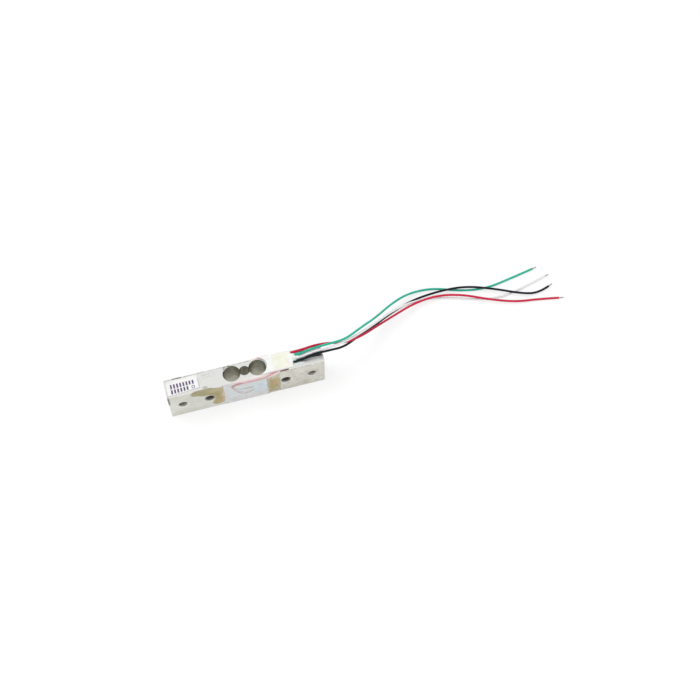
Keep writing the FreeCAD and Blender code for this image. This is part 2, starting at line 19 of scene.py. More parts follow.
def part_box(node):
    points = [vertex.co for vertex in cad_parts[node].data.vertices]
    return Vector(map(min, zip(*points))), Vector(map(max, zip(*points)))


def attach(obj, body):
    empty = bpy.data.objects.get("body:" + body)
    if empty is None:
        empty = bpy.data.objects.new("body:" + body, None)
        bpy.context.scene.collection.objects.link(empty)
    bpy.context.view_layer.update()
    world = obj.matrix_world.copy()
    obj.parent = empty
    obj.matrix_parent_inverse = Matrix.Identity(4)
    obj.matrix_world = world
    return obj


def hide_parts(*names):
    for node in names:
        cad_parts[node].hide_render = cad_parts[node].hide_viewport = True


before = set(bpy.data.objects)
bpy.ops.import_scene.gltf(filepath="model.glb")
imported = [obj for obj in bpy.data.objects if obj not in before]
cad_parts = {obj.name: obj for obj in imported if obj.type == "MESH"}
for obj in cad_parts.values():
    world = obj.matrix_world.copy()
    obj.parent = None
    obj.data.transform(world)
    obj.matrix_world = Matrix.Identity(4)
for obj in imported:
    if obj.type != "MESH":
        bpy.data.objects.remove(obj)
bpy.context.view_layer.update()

MM = 0.001
SMOOTH_ANGLE = math.radians(32)
Colour = tuple[float, float, float]
Point = tuple[float, float, float]
# The colour of the painted shadow that the tape's edge casts on the front top edge.
EDGE_SHADOW: Colour = (0.20, 0.085, 0.06)
WIRES = (1, 2, 3)
# The heights, in millimetres, between which a mark on the beam's top fades in.
TOP_FACE = (11.7, 11.95)
# The spacing, in millimetres, of the rings that a wave texture draws at a scale of 1.
RING_SCALE = 0.314

logging.basicConfig(level=logging.INFO, format="%(message)s")
log = logging.getLogger("load_cell")


class Face(Enum):
    """The two measuring faces, by the sign of their Y."""

    FRONT = -1
    REAR = 1


class Side(Enum):
    """The two ends of the beam, by the sign of their X."""

    LEFT = -1
    RIGHT = 1


class Surface(Enum):
    """The beam's kinds of surface, by the number of their finish."""

    OUTSIDE = 0
    BORE = 1
    THREAD = 2
    BROKEN_EDGE = 3


# ------------------------------------------------------------------ workbench
def choose(*pieces: bpy.types.Object) -> None:
    """Select these pieces and nothing else, with the first one active."""
    bpy.ops.object.select_all(action="DESELECT")
    for piece in pieces:
        piece.select_set(True)
    bpy.context.view_layer.objects.active = pieces[0]


def linked(name: str, data: bpy.types.ID) -> bpy.types.Object:
    """Add an object with this data to the scene."""
    piece = bpy.data.objects.new(name, data)
    bpy.context.scene.collection.objects.link(piece)
    return piece


def settle(piece: bpy.types.Object) -> None:
    """Move a piece's place, turn and scale into its mesh."""
    choose(piece)
    bpy.ops.object.transform_apply(location=True, rotation=True, scale=True)


def named(name: str) -> bpy.types.Object:
    """Give the piece that was just added its name, with its place in its mesh.

    Args:
        name: The piece's name.

    Returns:
        The piece.
    """
    piece = bpy.context.object
    piece.name = name
    piece.data.name = name
    settle(piece)
    return piece


def block(name: str, low: Point, high: Point) -> bpy.types.Object:
    """Add a block between two corners, in millimetres.

    Args:
        name: The piece's name.
        low: The lowest corner.
        high: The highest corner.

    Returns:
        The block.
    """
    low, high = Vector(low), Vector(high)
    bpy.ops.mesh.primitive_cube_add(size=1, location=(low + high) / 2, scale=high - low)
    return named(name)


def rod(name: str, radius: float, start: Point, end: Point, sides: int = 64) -> bpy.types.Object:
    """Add a round rod between two points, in millimetres.

    Args:
        name: The piece's name.
        radius: The rod's radius.
        start: The middle of its first end.
        end: The middle of its other end.
        sides: The number of its sides.

    Returns:
        The rod.
    """
    run = Vector(end) - Vector(start)
    bpy.ops.mesh.primitive_cylinder_add(
        vertices=sides, radius=radius, depth=run.length,
        location=(Vector(start) + Vector(end)) / 2, rotation=run.to_track_quat("Z", "Y").to_euler(),
    )
    return named(name)


def modify(piece: bpy.types.Object, kind: str, **settings: object) -> None:
    """Add a modifier, set it up and apply it.

    Args:
        piece: The piece to change.
        kind: The modifier's type, such as BEVEL.
        settings: The modifier's own settings.
    """
    choose(piece)
    modifier = piece.modifiers.new(kind.title(), kind)
    for name, value in settings.items():
        setattr(modifier, name, value)
    bpy.ops.object.modifier_apply(modifier=modifier.name)


def cut(piece: bpy.types.Object, *cutters: bpy.types.Object) -> None:
    """Cut the cutters out of a piece and throw them away."""
    for cutter in cutters:
        modify(piece, "BOOLEAN", operation="DIFFERENCE", object=cutter, solver="EXACT")
        bpy.data.objects.remove(cutter)


def joined(name: str, pieces: list[bpy.types.Object]) -> bpy.types.Object:
    """Join several pieces to one mesh.

    Args:
        name: The name of what they make.
        pieces: The pieces to join.

    Returns:
        The joined piece.
    """
    choose(*pieces)
    if len(pieces) > 1:
        bpy.ops.object.join()
    return named(name)


def edit(piece: bpy.types.Object, *steps: tuple[str, dict]) -> None:
    """Run mesh operators on a whole piece in edit mode.

    Args:
        piece: The piece to edit.
        steps: Pairs of an operator's name in bpy.ops.mesh and its settings.
    """
    choose(piece)
    bpy.ops.object.mode_set(mode="EDIT")
    for name, settings in steps:
        bpy.ops.mesh.select_all(action="SELECT")
        getattr(bpy.ops.mesh, name)(**settings)
    bpy.ops.object.mode_set(mode="OBJECT")


def tidy_mesh(piece: bpy.types.Object, gap: float = 1e-4) -> None:
    """Merge doubled points and turn every face outwards."""
    edit(piece, ("remove_doubles", {"threshold": gap}), ("normals_make_consistent", {"inside": False}))


def bevel_edges(piece: bpy.types.Object, axis: int, width: float, segments: int = 4) -> None:
    """Round the edges of a piece that run along one axis.

    Args:
        piece: The piece to round.
        axis: 0, 1 or 2 for the edges along X, Y or Z.
        width: The radius of the rounding in millimetres.
        segments: The number of steps in it.
    """
    choose(piece)
    bpy.ops.object.mode_set(mode="EDIT")
    bpy.ops.mesh.select_all(action="DESELECT")
    mesh = bmesh.from_edit_mesh(piece.data)
    for edge in mesh.edges:
        run = (edge.verts[1].co - edge.verts[0].co).normalized()
        edge.select_set(abs(run[axis]) > 0.999)
    bmesh.update_edit_mesh(piece.data)
    bpy.ops.mesh.bevel(offset=width, segments=segments, affect="EDGES")
    bpy.ops.object.mode_set(mode="OBJECT")


def held(value: float) -> float:
    """A value held between 0 and 1."""
    return min(1.0, max(0.0, value))


def ripple(place: Vector, size: float, seed: float) -> float:
    """Smooth noise from -1 to 1 whose bumps are about size across."""
    return noise.noise(place / size + Vector((seed, 2.3 * seed, 5.1 * seed)))


def deliver(
    piece: bpy.types.Object, finishes: list[bpy.types.Material], nodes: tuple[str, ...] = ()
) -> bpy.types.Object:
    """Turn a piece modelled in millimetres into a finished one in metres.

    Args:
        piece: The piece, with its place in its mesh.
        finishes: Its materials, in the order of its faces' material numbers.
        nodes: The nodes of the frame that it stands for.

    Returns:
        The piece, riding on the one body.
    """
    piece.scale = (MM, MM, MM)
    settle(piece)
    bpy.ops.object.shade_smooth_by_angle(angle=SMOOTH_ANGLE)
    return accept(piece, finishes, nodes)


def accept(
    piece: bpy.types.Object, finishes: list[bpy.types.Material], nodes: tuple[str, ...] = ()
) -> bpy.types.Object:
    """Dress a piece that is in metres and put it on the body.

    Args:
        piece: The piece.
        finishes: Its materials.
        nodes: The nodes of the frame that it stands for.

    Returns:
        The piece.
    """
    for number, finish in enumerate(finishes):
        if number < len(piece.data.materials):
            piece.data.materials[number] = finish
        else:
            piece.data.materials.append(finish)
    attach(piece, "root")
    if nodes:
        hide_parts(*nodes)
    faces = len(piece.data.polygons) if piece.type == "MESH" else 0
    log.info("%s: %d faces, stands for %s", piece.name, faces, ", ".join(nodes) or "nothing")
    return piece


def dress(node: str, finish: bpy.types.Material) -> None:
    """Give a node of the frame, whose own shape stays, its finish."""
    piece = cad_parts[node]
    piece.data.materials.clear()
    piece.data.materials.append(finish)
    log.info("%s: its own shape, newly finished", node)


def corners(node: str) -> tuple[Vector, Vector]:
    """The lowest and highest corner of a node of the frame, in millimetres."""
    low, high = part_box(node)
    return low / MM, high / MM


# ------------------------------------------------------------------ shader sheets
class Shader:
    """One material's node tree, whose patterns are laid out in millimetres."""

    def __init__(self, name: str) -> None:
        """Make an empty material with a Principled shader.

        Args:
            name: The material's name.
        """
        self.material = bpy.data.materials.new(name)
        self.material.use_nodes = True
        self.nodes = self.material.node_tree.nodes
        self.links = self.material.node_tree.links
        self.surface = self.nodes["Principled BSDF"]
        coordinates = self.nodes.new("ShaderNodeTexCoord")
        mapping = self.nodes.new("ShaderNodeMapping")
        mapping.inputs["Scale"].default_value = (1 / MM, 1 / MM, 1 / MM)
        self.links.new(coordinates.outputs["Object"], mapping.inputs["Vector"])
        self.place = mapping.outputs["Vector"]

    def feed(self, socket: bpy.types.NodeSocket, value: object) -> None:
        """Set a socket to a constant, or link it to another node's output."""
        if isinstance(value, bpy.types.NodeSocket):
            self.links.new(value, socket)
        elif isinstance(value, tuple) and len(value) == 3 and socket.type == "RGBA":
            socket.default_value = (*value, 1.0)
        else:
            socket.default_value = value

    def set(self, **values: object) -> None:
        """Feed the Principled shader's sockets; an underscore stands for a space."""
        for name, value in values.items():
            self.feed(self.surface.inputs[name.replace("_", " ")], value)

    def stretched(self, scale: Point) -> bpy.types.NodeSocket:
        """The place in millimetres, stretched along each axis by one over the scale."""
        node = self.nodes.new("ShaderNodeMapping")
        self.feed(node.inputs["Vector"], self.place)
        node.inputs["Scale"].default_value = scale
        return node.outputs["Vector"]

    def noise(
        self, size: float, detail: float, rough: float, swirl: float = 0.0, stretch: Point = (1, 1, 1)
    ) -> bpy.types.NodeSocket:
        """Cloudy noise.

        Args:
            size: How wide its clouds are, in millimetres.
            detail: The number of finer layers.
            rough: How strong the finer layers are.
            swirl: How much it is distorted.
            stretch: How much longer the clouds are along each axis.

        Returns:
            The noise, about 0 to 1.
        """
        node = self.nodes.new("ShaderNodeTexNoise")
        self.feed(node.inputs["Vector"], self.stretched(tuple(1 / (size * part) for part in stretch)))
        node.inputs["Scale"].default_value = 1.0
        node.inputs["Detail"].default_value = detail
        node.inputs["Roughness"].default_value = rough
        node.inputs["Distortion"].default_value = swirl
        return node.outputs["Fac"]

    def cells(self, size: float) -> bpy.types.NodeSocket:
        """The distance to the nearest of many scattered points, size apart."""
        node = self.nodes.new("ShaderNodeTexVoronoi")
        self.feed(node.inputs["Vector"], self.stretched((1 / size,) * 3))
        node.inputs["Scale"].default_value = 1.0
        return node.outputs["Distance"]

    def ramp(
        self, value: object, low: float, high: float, start: float = 0.0, end: float = 1.0
    ) -> bpy.types.NodeSocket:
        """Map a value from low to high softly onto start to end, held at both ends.

        Args:
            value: The value to map.
            low: Where the rise starts.
            high: Where it ends.
            start: The result at low.
            end: The result at high.

        Returns:
            The mapped value.
        """
        node = self.nodes.new("ShaderNodeMapRange")
        node.interpolation_type = "SMOOTHSTEP"
        for name, number in (
            ("Value", value), ("From Min", low), ("From Max", high), ("To Min", start), ("To Max", end)
        ):
            self.feed(node.inputs[name], number)
        return node.outputs["Result"]

    def maths(self, operation: str, first: object, second: object = 0.0) -> bpy.types.NodeSocket:
        """The result of one sum on two values."""
        node = self.nodes.new("ShaderNodeMath")
        node.operation = operation
        self.feed(node.inputs[0], first)
        self.feed(node.inputs[1], second)
        return node.outputs["Value"]

    def product(self, *values: object) -> bpy.types.NodeSocket:
        """Several values multiplied together."""
        result = values[0]
        for value in values[1:]:
            result = self.maths("MULTIPLY", result, value)
        return result

    def total(self, *values: object) -> bpy.types.NodeSocket:
        """Several values added together."""
        result = values[0]
        for value in values[1:]:
            result = self.maths("ADD", result, value)
        return result

    def weighed(self, *parts: tuple[object, float]) -> bpy.types.NodeSocket:
        """Several patterns, each times its weight, added together."""
        return self.total(*(self.product(pattern, weight) for pattern, weight in parts))

    def slant(self, across: object, up: object) -> bpy.types.NodeSocket:
        """The straight distance that lies this far across and this far up."""
        return self.maths("SQRT", self.total(self.product(across, across), self.product(up, up)))

    def rough(self, pattern: object, smooth: float, coarse: float) -> bpy.types.NodeSocket:
        """A roughness that follows the middle of a pattern, from smooth to coarse."""
        return self.ramp(pattern, 0.3, 0.7, smooth, coarse)

    def axes(self) -> tuple[bpy.types.NodeSocket, bpy.types.NodeSocket, bpy.types.NodeSocket]:
        """The X, Y and Z of the place, in millimetres."""
        node = self.nodes.new("ShaderNodeSeparateXYZ")
        self.feed(node.inputs["Vector"], self.place)
        return node.outputs["X"], node.outputs["Y"], node.outputs["Z"]

    def within(self, value: object, low: float, high: float, soft: float) -> bpy.types.NodeSocket:
        """1 where a value lies between low and high, fading to 0 over soft on each side."""
        rise = self.ramp(value, low - soft, low + soft)
        fall = self.ramp(value, high - soft, high + soft, 1.0, 0.0)
        return self.maths("MULTIPLY", rise, fall)

    def blend(self, share: object, first: object, second: object) -> bpy.types.NodeSocket:
        """Mix two colours by a share."""
        node = self.nodes.new("ShaderNodeMix")
        node.data_type = "RGBA"
        self.feed(node.inputs[0], share)
        self.feed(node.inputs[6], first)
        self.feed(node.inputs[7], second)
        return node.outputs[2]

    def coats(self, base: object, *layers: tuple[object, Colour]) -> bpy.types.NodeSocket:
        """Lay colours over a base in turn, each by its share."""
        for share, colour in layers:
            base = self.blend(share, base, colour)
        return base

    def own(self, attribute: str) -> bpy.types.NodeSocket:
        """A value that the piece's own points carry."""
        node = self.nodes.new("ShaderNodeAttribute")
        node.attribute_name = attribute
        return node.outputs["Fac"]

    def bump(self, height: object, depth: float, strength: float = 1.0) -> None:
        """Raise the surface by a height from 0 to 1, depth millimetres at most."""
        node = self.nodes.new("ShaderNodeBump")
        node.inputs["Strength"].default_value = strength
        node.inputs["Distance"].default_value = depth * MM
        self.feed(node.inputs["Height"], height)
        self.feed(self.surface.inputs["Normal"], node.outputs["Normal"])


# ------------------------------------------------------------------ finishes
@dataclass(frozen=True)
class Finish:
    """A procedural finish: each kind names its material and paints it on a shader sheet."""

    name: str

    def make(self) -> bpy.types.Material:
        """Make the material and paint it.

        Returns:
            The material.
        """
        shade = Shader(self.name)
        self.paint(shade)
        return shade.material

    def paint(self, shade: Shader) -> None:
        """Paint the finish.

        Args:
            shade: The sheet to paint it on.
        """
        raise NotImplementedError


def edge_shadow_line(shade: Shader) -> bpy.types.NodeSocket:
    """Painted shadow of the tape's edge: the short dark line on the front top edge, just past the tape."""
    x, y, z = shade.axes()
    torn = shade.noise(0.5, 4.0, 0.6, 0.3, (3, 1, 1))
    return shade.product(
        shade.within(x, 10.0, 12.6, 0.25), shade.ramp(y, -2.6, -2.75), shade.ramp(z, 11.45, 11.65),
        shade.ramp(torn, 0.3, 0.45), 0.9,
    )


def edge_dirt(shade: Shader) -> bpy.types.NodeSocket:
    """The dark dirt along the rear top edge and on the front corner of the load end."""
    x, y, z = shade.axes()
    torn = shade.noise(0.9, 5.0, 0.65, 0.6)
    fine = shade.noise(0.35, 5.0, 0.65, 0.4, (3, 1, 1))
    on_edge = shade.ramp(z, 11.4, 11.6)
    rear_smudge = shade.product(
        shade.within(x, -20.9, -18.3, 0.4), shade.ramp(y, 2.3, 2.6), on_edge,
        shade.ramp(torn, 0.3, 0.42), 0.95,
    )
    rear_line = shade.product(
        shade.within(x, -23.0, 2.0, 1.0), shade.ramp(y, 2.45, 2.75), on_edge, shade.ramp(fine, 0.42, 0.6), 0.5
    )
    load_corner = shade.product(
        shade.ramp(x, -22.7, -23.2), shade.within(z, 7.6, 11.9, 1.0), shade.ramp(y, -2.4, -2.9),
        shade.ramp(torn, 0.26, 0.46), 0.9,
    )
    return shade.maths("MINIMUM", shade.total(rear_smudge, rear_line, load_corner), 1.0)


def old_glue(shade: Shader) -> tuple[bpy.types.NodeSocket, bpy.types.NodeSocket]:
    """The thin glue that wetted the front face round the two skins of adhesive.

    Args:
        shade: The sheet to draw it on.

    Returns:
        How much of it there is at the load end, and how much at the fixed end.
    """
    x, y, z = shade.axes()
    on_front = shade.ramp(y, -2.75, -2.9)
    torn = shade.ramp(shade.noise(1.3, 5.0, 0.65, 0.5), 0.25, 0.75, -0.3, 0.3)
    beyond = shade.maths("MINIMUM", shade.total(x, 14.9), 0.0)
    far = shade.total(shade.slant(beyond, shade.total(z, -10.5)), torn)
    tongue = shade.product(shade.ramp(far, 1.95, 1.55), shade.ramp(x, -10.0, -11.0))
    slope = shade.total(z, shade.product(x, 0.55), torn)
    root = shade.product(
        shade.within(x, -11.4, -8.5, 0.4), shade.ramp(z, 9.4, 9.8), shade.ramp(slope, 6.5, 5.9)
    )
    pool = shade.product(
        shade.within(shade.total(x, torn), 6.0, 9.9, 0.3),
        shade.within(shade.total(z, torn), 0.9, 8.3, 0.5),
        0.85,
    )
    return shade.product(shade.maths("MAXIMUM", tongue, root), on_front), shade.product(pool, on_front)


def bare_share(shade: Shader, glue: bpy.types.NodeSocket) -> bpy.types.NodeSocket:
    """How metallic the bar looks where there is this much glue on it."""
    return shade.maths("SUBTRACT", 1.0, shade.product(glue, 0.9))


@dataclass(frozen=True)
class BeamMetal(Finish):
    """Milled and tumbled aluminium: satin, with fine scratches, smudges and worn corners."""

    name: str = "beam_aluminium"
    colour: Colour = (0.755, 0.76, 0.73)
    pale: Colour = (0.80, 0.805, 0.78)
    # The front face's tint: partly warm residue, partly painted shade that darkens the whole face.
    front: Colour = (0.66, 0.66, 0.595)
    residue: Colour = (0.50, 0.46, 0.38)
    # The colour of the painted highlight below and beside each hole.
    rubbed: Colour = (0.88, 0.87, 0.83)
    smudge: Colour = (0.20, 0.18, 0.15)
    # The colour of the painted shadow and reflection of the lowest lead on the top.
    lead_shadow: Colour = (0.03, 0.03, 0.03)
    edge_shadow: Colour = EDGE_SHADOW
    load_glue: Colour = (0.37, 0.325, 0.19)
    fixed_glue: Colour = (0.40, 0.35, 0.22)
    hole_middle: float = 15.5
    hole_reach: float = 4.0
    hole_height: float = 6.0
    front_y: float = -2.97
    rough_low: float = 0.34
    rough_high: float = 0.52

    def paint(self, shade: Shader) -> None:
        """Clouded metal, the front's tint and residue, dirt and old glue, with painted shade, highlights and
        shadows.
        """
        clouds = shade.noise(7.0, 5.0, 0.6)
        specks = shade.noise(0.5, 6.0, 0.7)
        patches = shade.noise(2.6, 5.0, 0.62, 0.5, (1.6, 1, 1))
        scratches = shade.ramp(shade.noise(0.12, 3.0, 0.6, 0.0, (14, 1, 1)), 0.35, 0.75)
        pits = shade.ramp(shade.cells(0.35), 0.0, 0.12)
        on_front = shade.ramp(shade.axes()[1], self.front_y - 0.02, self.front_y + 0.02, 1.0, 0.0)
        load_glue, fixed_glue = old_glue(shade)
        colour = shade.coats(
            self.colour,
            (shade.ramp(clouds, 0.3, 0.7), self.pale),
            # The front's tint: residue and painted shade.
            (shade.product(on_front, shade.ramp(patches, 0.32, 0.68, 0.45, 1.0)), self.front),
            (shade.product(on_front, self.residues(shade)), self.residue),
            (shade.ramp(specks, 0.64, 0.8, 0.0, 0.4), self.residue),
            # Painted highlight below and beside each hole.
            (self.lit_hole_rings(shade, specks), self.rubbed),
            (self.marks(shade), self.smudge),
            # Painted shadow of the tape's edge.
            (edge_shadow_line(shade), self.edge_shadow),
            # Painted shadow and reflection of the lowest lead.
            (self.black_lead_shadow(shade), self.lead_shadow),
            (fixed_glue, self.fixed_glue),
            (load_glue, self.load_glue),
        )
        rough = shade.ramp(clouds, 0.3, 0.75, self.rough_low, self.rough_high)
        shade.set(
            Base_Color=colour,
            Metallic=bare_share(shade, shade.total(load_glue, fixed_glue)),
            Roughness=shade.total(rough, shade.product(scratches, 0.08)),
        )
        shade.bump(shade.weighed((scratches, 0.35), (pits, 0.3), (specks, 0.35)), 0.006, 0.55)

    def lit_hole_rings(self, shade: Shader, specks: bpy.types.NodeSocket) -> bpy.types.NodeSocket:
        """A painted highlight: pale rings below and beside each hole's mouth.

        Args:
            shade: The sheet to draw them on.
            specks: The noise that breaks them up.

        Returns:
            How bright they are at each place.
        """
        x, y, z = shade.axes()
        from_middle = shade.total(shade.maths("ABSOLUTE", x), -self.hole_middle)
        across = shade.total(shade.maths("ABSOLUTE", from_middle), -self.hole_reach)
        up = shade.total(z, -self.hole_height)
        return shade.product(
            shade.within(shade.slant(across, up), 1.5, 2.0, 0.15), shade.ramp(specks, 0.3, 0.6, 0.25, 0.6),
            shade.ramp(up, 1.0, -0.4), shade.ramp(shade.maths("ABSOLUTE", y), 2.94, 2.97),
            shade.ramp(x, 17.0, 15.0, 0.4, 1.0),
        )

    def residues(self, shade: Shader) -> bpy.types.NodeSocket:
        """The tan residue on the front face, heavier towards the lead end.

        Args:
            shade: The sheet to draw it on.

        Returns:
            How much of it there is at each place.
        """
        x, _, z = shade.axes()
        torn = shade.noise(1.6, 5.0, 0.65, 0.7)
        flecks = shade.noise(0.45, 4.0, 0.6, 0.5)
        lead_end = shade.product(shade.ramp(x, 8.5, 11.0), shade.ramp(torn, 0.38, 0.7), 0.5)
        low = shade.product(shade.within(x, 11.5, 19.0, 2.0), shade.ramp(z, 5.0, 1.5), 0.22)
        dots = shade.product(
            shade.within(x, 11.5, 19.5, 1.0), shade.ramp(z, 10.9, 11.6), shade.ramp(flecks, 0.46, 0.56), 0.95
        )
        under_hole = shade.product(shade.within(x, 11.8, 12.9, 0.4), shade.within(z, 3.2, 4.8, 0.5), 0.45)
        run_down = shade.product(shade.within(x, 16.9, 18.1, 0.6), shade.within(z, 0.8, 3.0, 0.8), 0.35)
        round_hole = shade.product(shade.within(x, 17.3, 21.6, 0.5), shade.within(z, 4.6, 8.6, 1.0), 0.4)
        left_end = shade.product(shade.ramp(x, -16.0, -21.0), shade.ramp(torn, 0.5, 0.75), 0.22)
        return shade.total(lead_end, low, dots, under_hole, run_down, round_hole, left_end)

    def black_lead_shadow(self, shade: Shader) -> bpy.types.NodeSocket:
        """Painted shadow and reflection of the lowest lead: a dark patch on the top of the fixed end."""
        x, y, z = shade.axes()
        torn = shade.ramp(shade.noise(0.8, 4.0, 0.6, 0.4), 0.2, 0.8, -0.25, 0.25)
        ragged = shade.total(y, shade.product(x, 0.05), torn)
        return shade.product(
            shade.within(x, 18.5, 23.3, 0.7), shade.within(ragged, 0.06, 1.45, 0.18),
            shade.ramp(z, *TOP_FACE), 0.95,
        )

    def marks(self, shade: Shader) -> bpy.types.NodeSocket:
        """The dark handling marks: on the edges, at the far end, and in streaks and dried glue on top.

        Args:
            shade: The sheet to draw them on.

        Returns:
            How dark the marks are at each place.
        """
        x, y, z = shade.axes()
        torn = shade.noise(0.9, 5.0, 0.65, 0.6)
        fine = shade.noise(0.35, 5.0, 0.65, 0.4, (3, 1, 1))
        on_top = shade.ramp(z, *TOP_FACE)
        far_end = shade.product(shade.ramp(x, 22.2, 22.7), shade.ramp(torn, 0.25, 0.6), 0.1)
        streaks = shade.product(
            shade.within(x, -13.0, -8.6, 0.8), shade.within(y, 0.7, 2.3, 0.4), on_top,
            shade.ramp(fine, 0.52, 0.66), 0.4,
        )
        glue_on_top = shade.product(
            shade.within(x, -13.0, -11.5, 0.5), shade.ramp(y, -1.7, -2.4), on_top,
            shade.ramp(torn, 0.36, 0.56), 0.5,
        )
        return shade.total(edge_dirt(shade), far_end, streaks, glue_on_top)


@dataclass(frozen=True)
class CutMetal(Finish):
    """Freshly cut aluminium inside a bore or a thread, clouded by oil, with painted shade and a painted
    highlight.
    """

    name: str = "bored_aluminium"
    colour: Colour = (0.54, 0.53, 0.43)
    # The colour of the oil clouds and of the painted shade up each bore.
    shade_and_oil: Colour = (0.27, 0.27, 0.20)
    feed: float = 0.22
    # The height about which the painted shade up each bore rises.
    shaded_above: float = 7.0
    along: int = 2
    # The pale bands of the feed rings, and the painted highlight in the outer holes.
    bright: Colour = (0.78, 0.77, 0.72)

    def paint(self, shade: Shader) -> None:
        """Feed rings across the axis, oil clouds, painted shade towards each bore's top, a painted highlight
        in outer threads.
        """
        rings = shade.nodes.new("ShaderNodeTexWave")
        rings.bands_direction = "XYZ"[self.along]
        rings.inputs["Scale"].default_value = 1.0
        rings.inputs["Distortion"].default_value = 1.2
        rings.inputs["Detail"].default_value = 2.0
        shade.feed(rings.inputs["Vector"], shade.stretched((RING_SCALE / self.feed,) * 3))
        turned = rings.outputs["Fac"]
        clouds = shade.noise(2.2, 5.0, 0.65, 0.4)
        x, _, z = shade.axes()
        # Painted shade that deepens towards the top of each bore, broken up by clouds of oil.
        depth = shade.ramp(z, self.shaded_above - 3.0, self.shaded_above + 4.0)
        shade_and_oil_share = shade.maths("MINIMUM", shade.total(depth, shade.ramp(clouds, 0.35, 0.75, -0.25, 0.35)), 1.0)
        # Painted highlight: the outer holes' threads are painted lighter than the inner holes', though cut
        # alike.
        outer = shade.ramp(shade.maths("ABSOLUTE", x), 14.0, 17.0, 0.0, 0.7)
        colour = shade.coats(
            self.colour, (shade_and_oil_share, self.shade_and_oil), (shade.total(shade.product(turned, 0.3), outer), self.bright)
        )
        shade.set(Base_Color=colour, Metallic=1.0, Roughness=shade.rough(clouds, 0.34, 0.52))
        shade.bump(shade.weighed((turned, 0.6), (clouds, 0.4)), 0.02, 0.6)


@dataclass(frozen=True)
class WornEdge(Finish):
    """The broken edges of the bar, rubbed bright and nicked."""

    name: str = "worn_edge_aluminium"
    colour: Colour = (0.80, 0.80, 0.775)
    nick: Colour = (0.42, 0.41, 0.37)
    dirt: Colour = (0.16, 0.15, 0.13)
    edge_shadow: Colour = EDGE_SHADOW
    glue: Colour = (0.42, 0.37, 0.24)

    def paint(self, shade: Shader) -> None:
        """Bright metal with dark nicks, under the dirt, the painted shadow of the tape and the glue that run
        over it.
        """
        nicks = shade.noise(0.7, 6.0, 0.7, 0.5)
        glue = old_glue(shade)[0]
        colour = shade.coats(
            self.colour,
            (shade.ramp(nicks, 0.56, 0.72, 0.0, 0.8), self.nick),
            (edge_dirt(shade), self.dirt),
            # Painted shadow of the tape's edge.
            (edge_shadow_line(shade), self.edge_shadow),
            (glue, self.glue),
        )
        shade.set(Base_Color=colour, Metallic=bare_share(shade, glue), Roughness=shade.rough(nicks, 0.3, 0.5))
        shade.bump(nicks, 0.02, 0.6)


@dataclass(frozen=True)
class Silicone(Finish):
    """White silicone sealant: soft gloss, with trapped bubbles and finger marks."""

    name: str = "silicone_sealant"
    colour: Colour = (0.90, 0.91, 0.88)
    shadow: Colour = (0.83, 0.85, 0.82)
    bubble: Colour = (0.74, 0.77, 0.73)
    wire_tint: Colour = (0.72, 0.30, 0.35)
    roughness: float = 0.3

    def paint(self, shade: Shader) -> None:
        """Clouded white with dim bubbles, reddened where an enamelled wire runs close behind."""
        clouds = shade.noise(1.6, 4.0, 0.5)
        bubbles = shade.ramp(shade.cells(0.7), 0.0, 0.16)
        wire = shade.product(shade.own("near_wire"), shade.ramp(clouds, 0.25, 0.6, 0.55, 0.8))
        colour = shade.coats(
            self.colour,
            (shade.ramp(clouds, 0.35, 0.7), self.shadow),
            (shade.product(shade.ramp(bubbles, 0.0, 1.0, 1.0, 0.0), 0.3), self.bubble),
            (wire, self.wire_tint),
        )
        shade.set(
            Base_Color=colour,
            Roughness=shade.rough(clouds, self.roughness - 0.08, self.roughness + 0.12),
            Subsurface_Weight=0.25,
            Subsurface_Scale=0.0006,
            Coat_Weight=0.15,
            Coat_Roughness=0.2,
        )
        shade.bump(shade.weighed((clouds, 0.7), (bubbles, 0.3)), 0.06, 0.5)


@dataclass(frozen=True)
class PressedTape(Finish):
    """Cream paper tape, pressed on and a little creased."""

    name: str = "cream_tape"
    colour: Colour = (0.86, 0.865, 0.75)
    aged: Colour = (0.81, 0.805, 0.68)
    fibre: Colour = (0.96, 0.95, 0.87)

    def paint(self, shade: Shader) -> None:
        """Aged patches and pale fibres, creased across."""
        fibres = shade.noise(0.1, 4.0, 0.65, 0.0, (1, 7, 1))
        clouds = shade.noise(1.8, 4.0, 0.6)
        creases = shade.noise(0.9, 2.0, 0.4, 1.4, (1, 3, 1))
        colour = shade.coats(
            self.colour,
            (shade.ramp(clouds, 0.35, 0.75), self.aged),
            (shade.ramp(fibres, 0.55, 0.8, 0.0, 0.35), self.fibre),
        )
        shade.set(Base_Color=colour, Roughness=shade.rough(fibres, 0.5, 0.68))
        shade.bump(shade.weighed((fibres, 0.35), (creases, 0.65)), 0.03, 0.6)


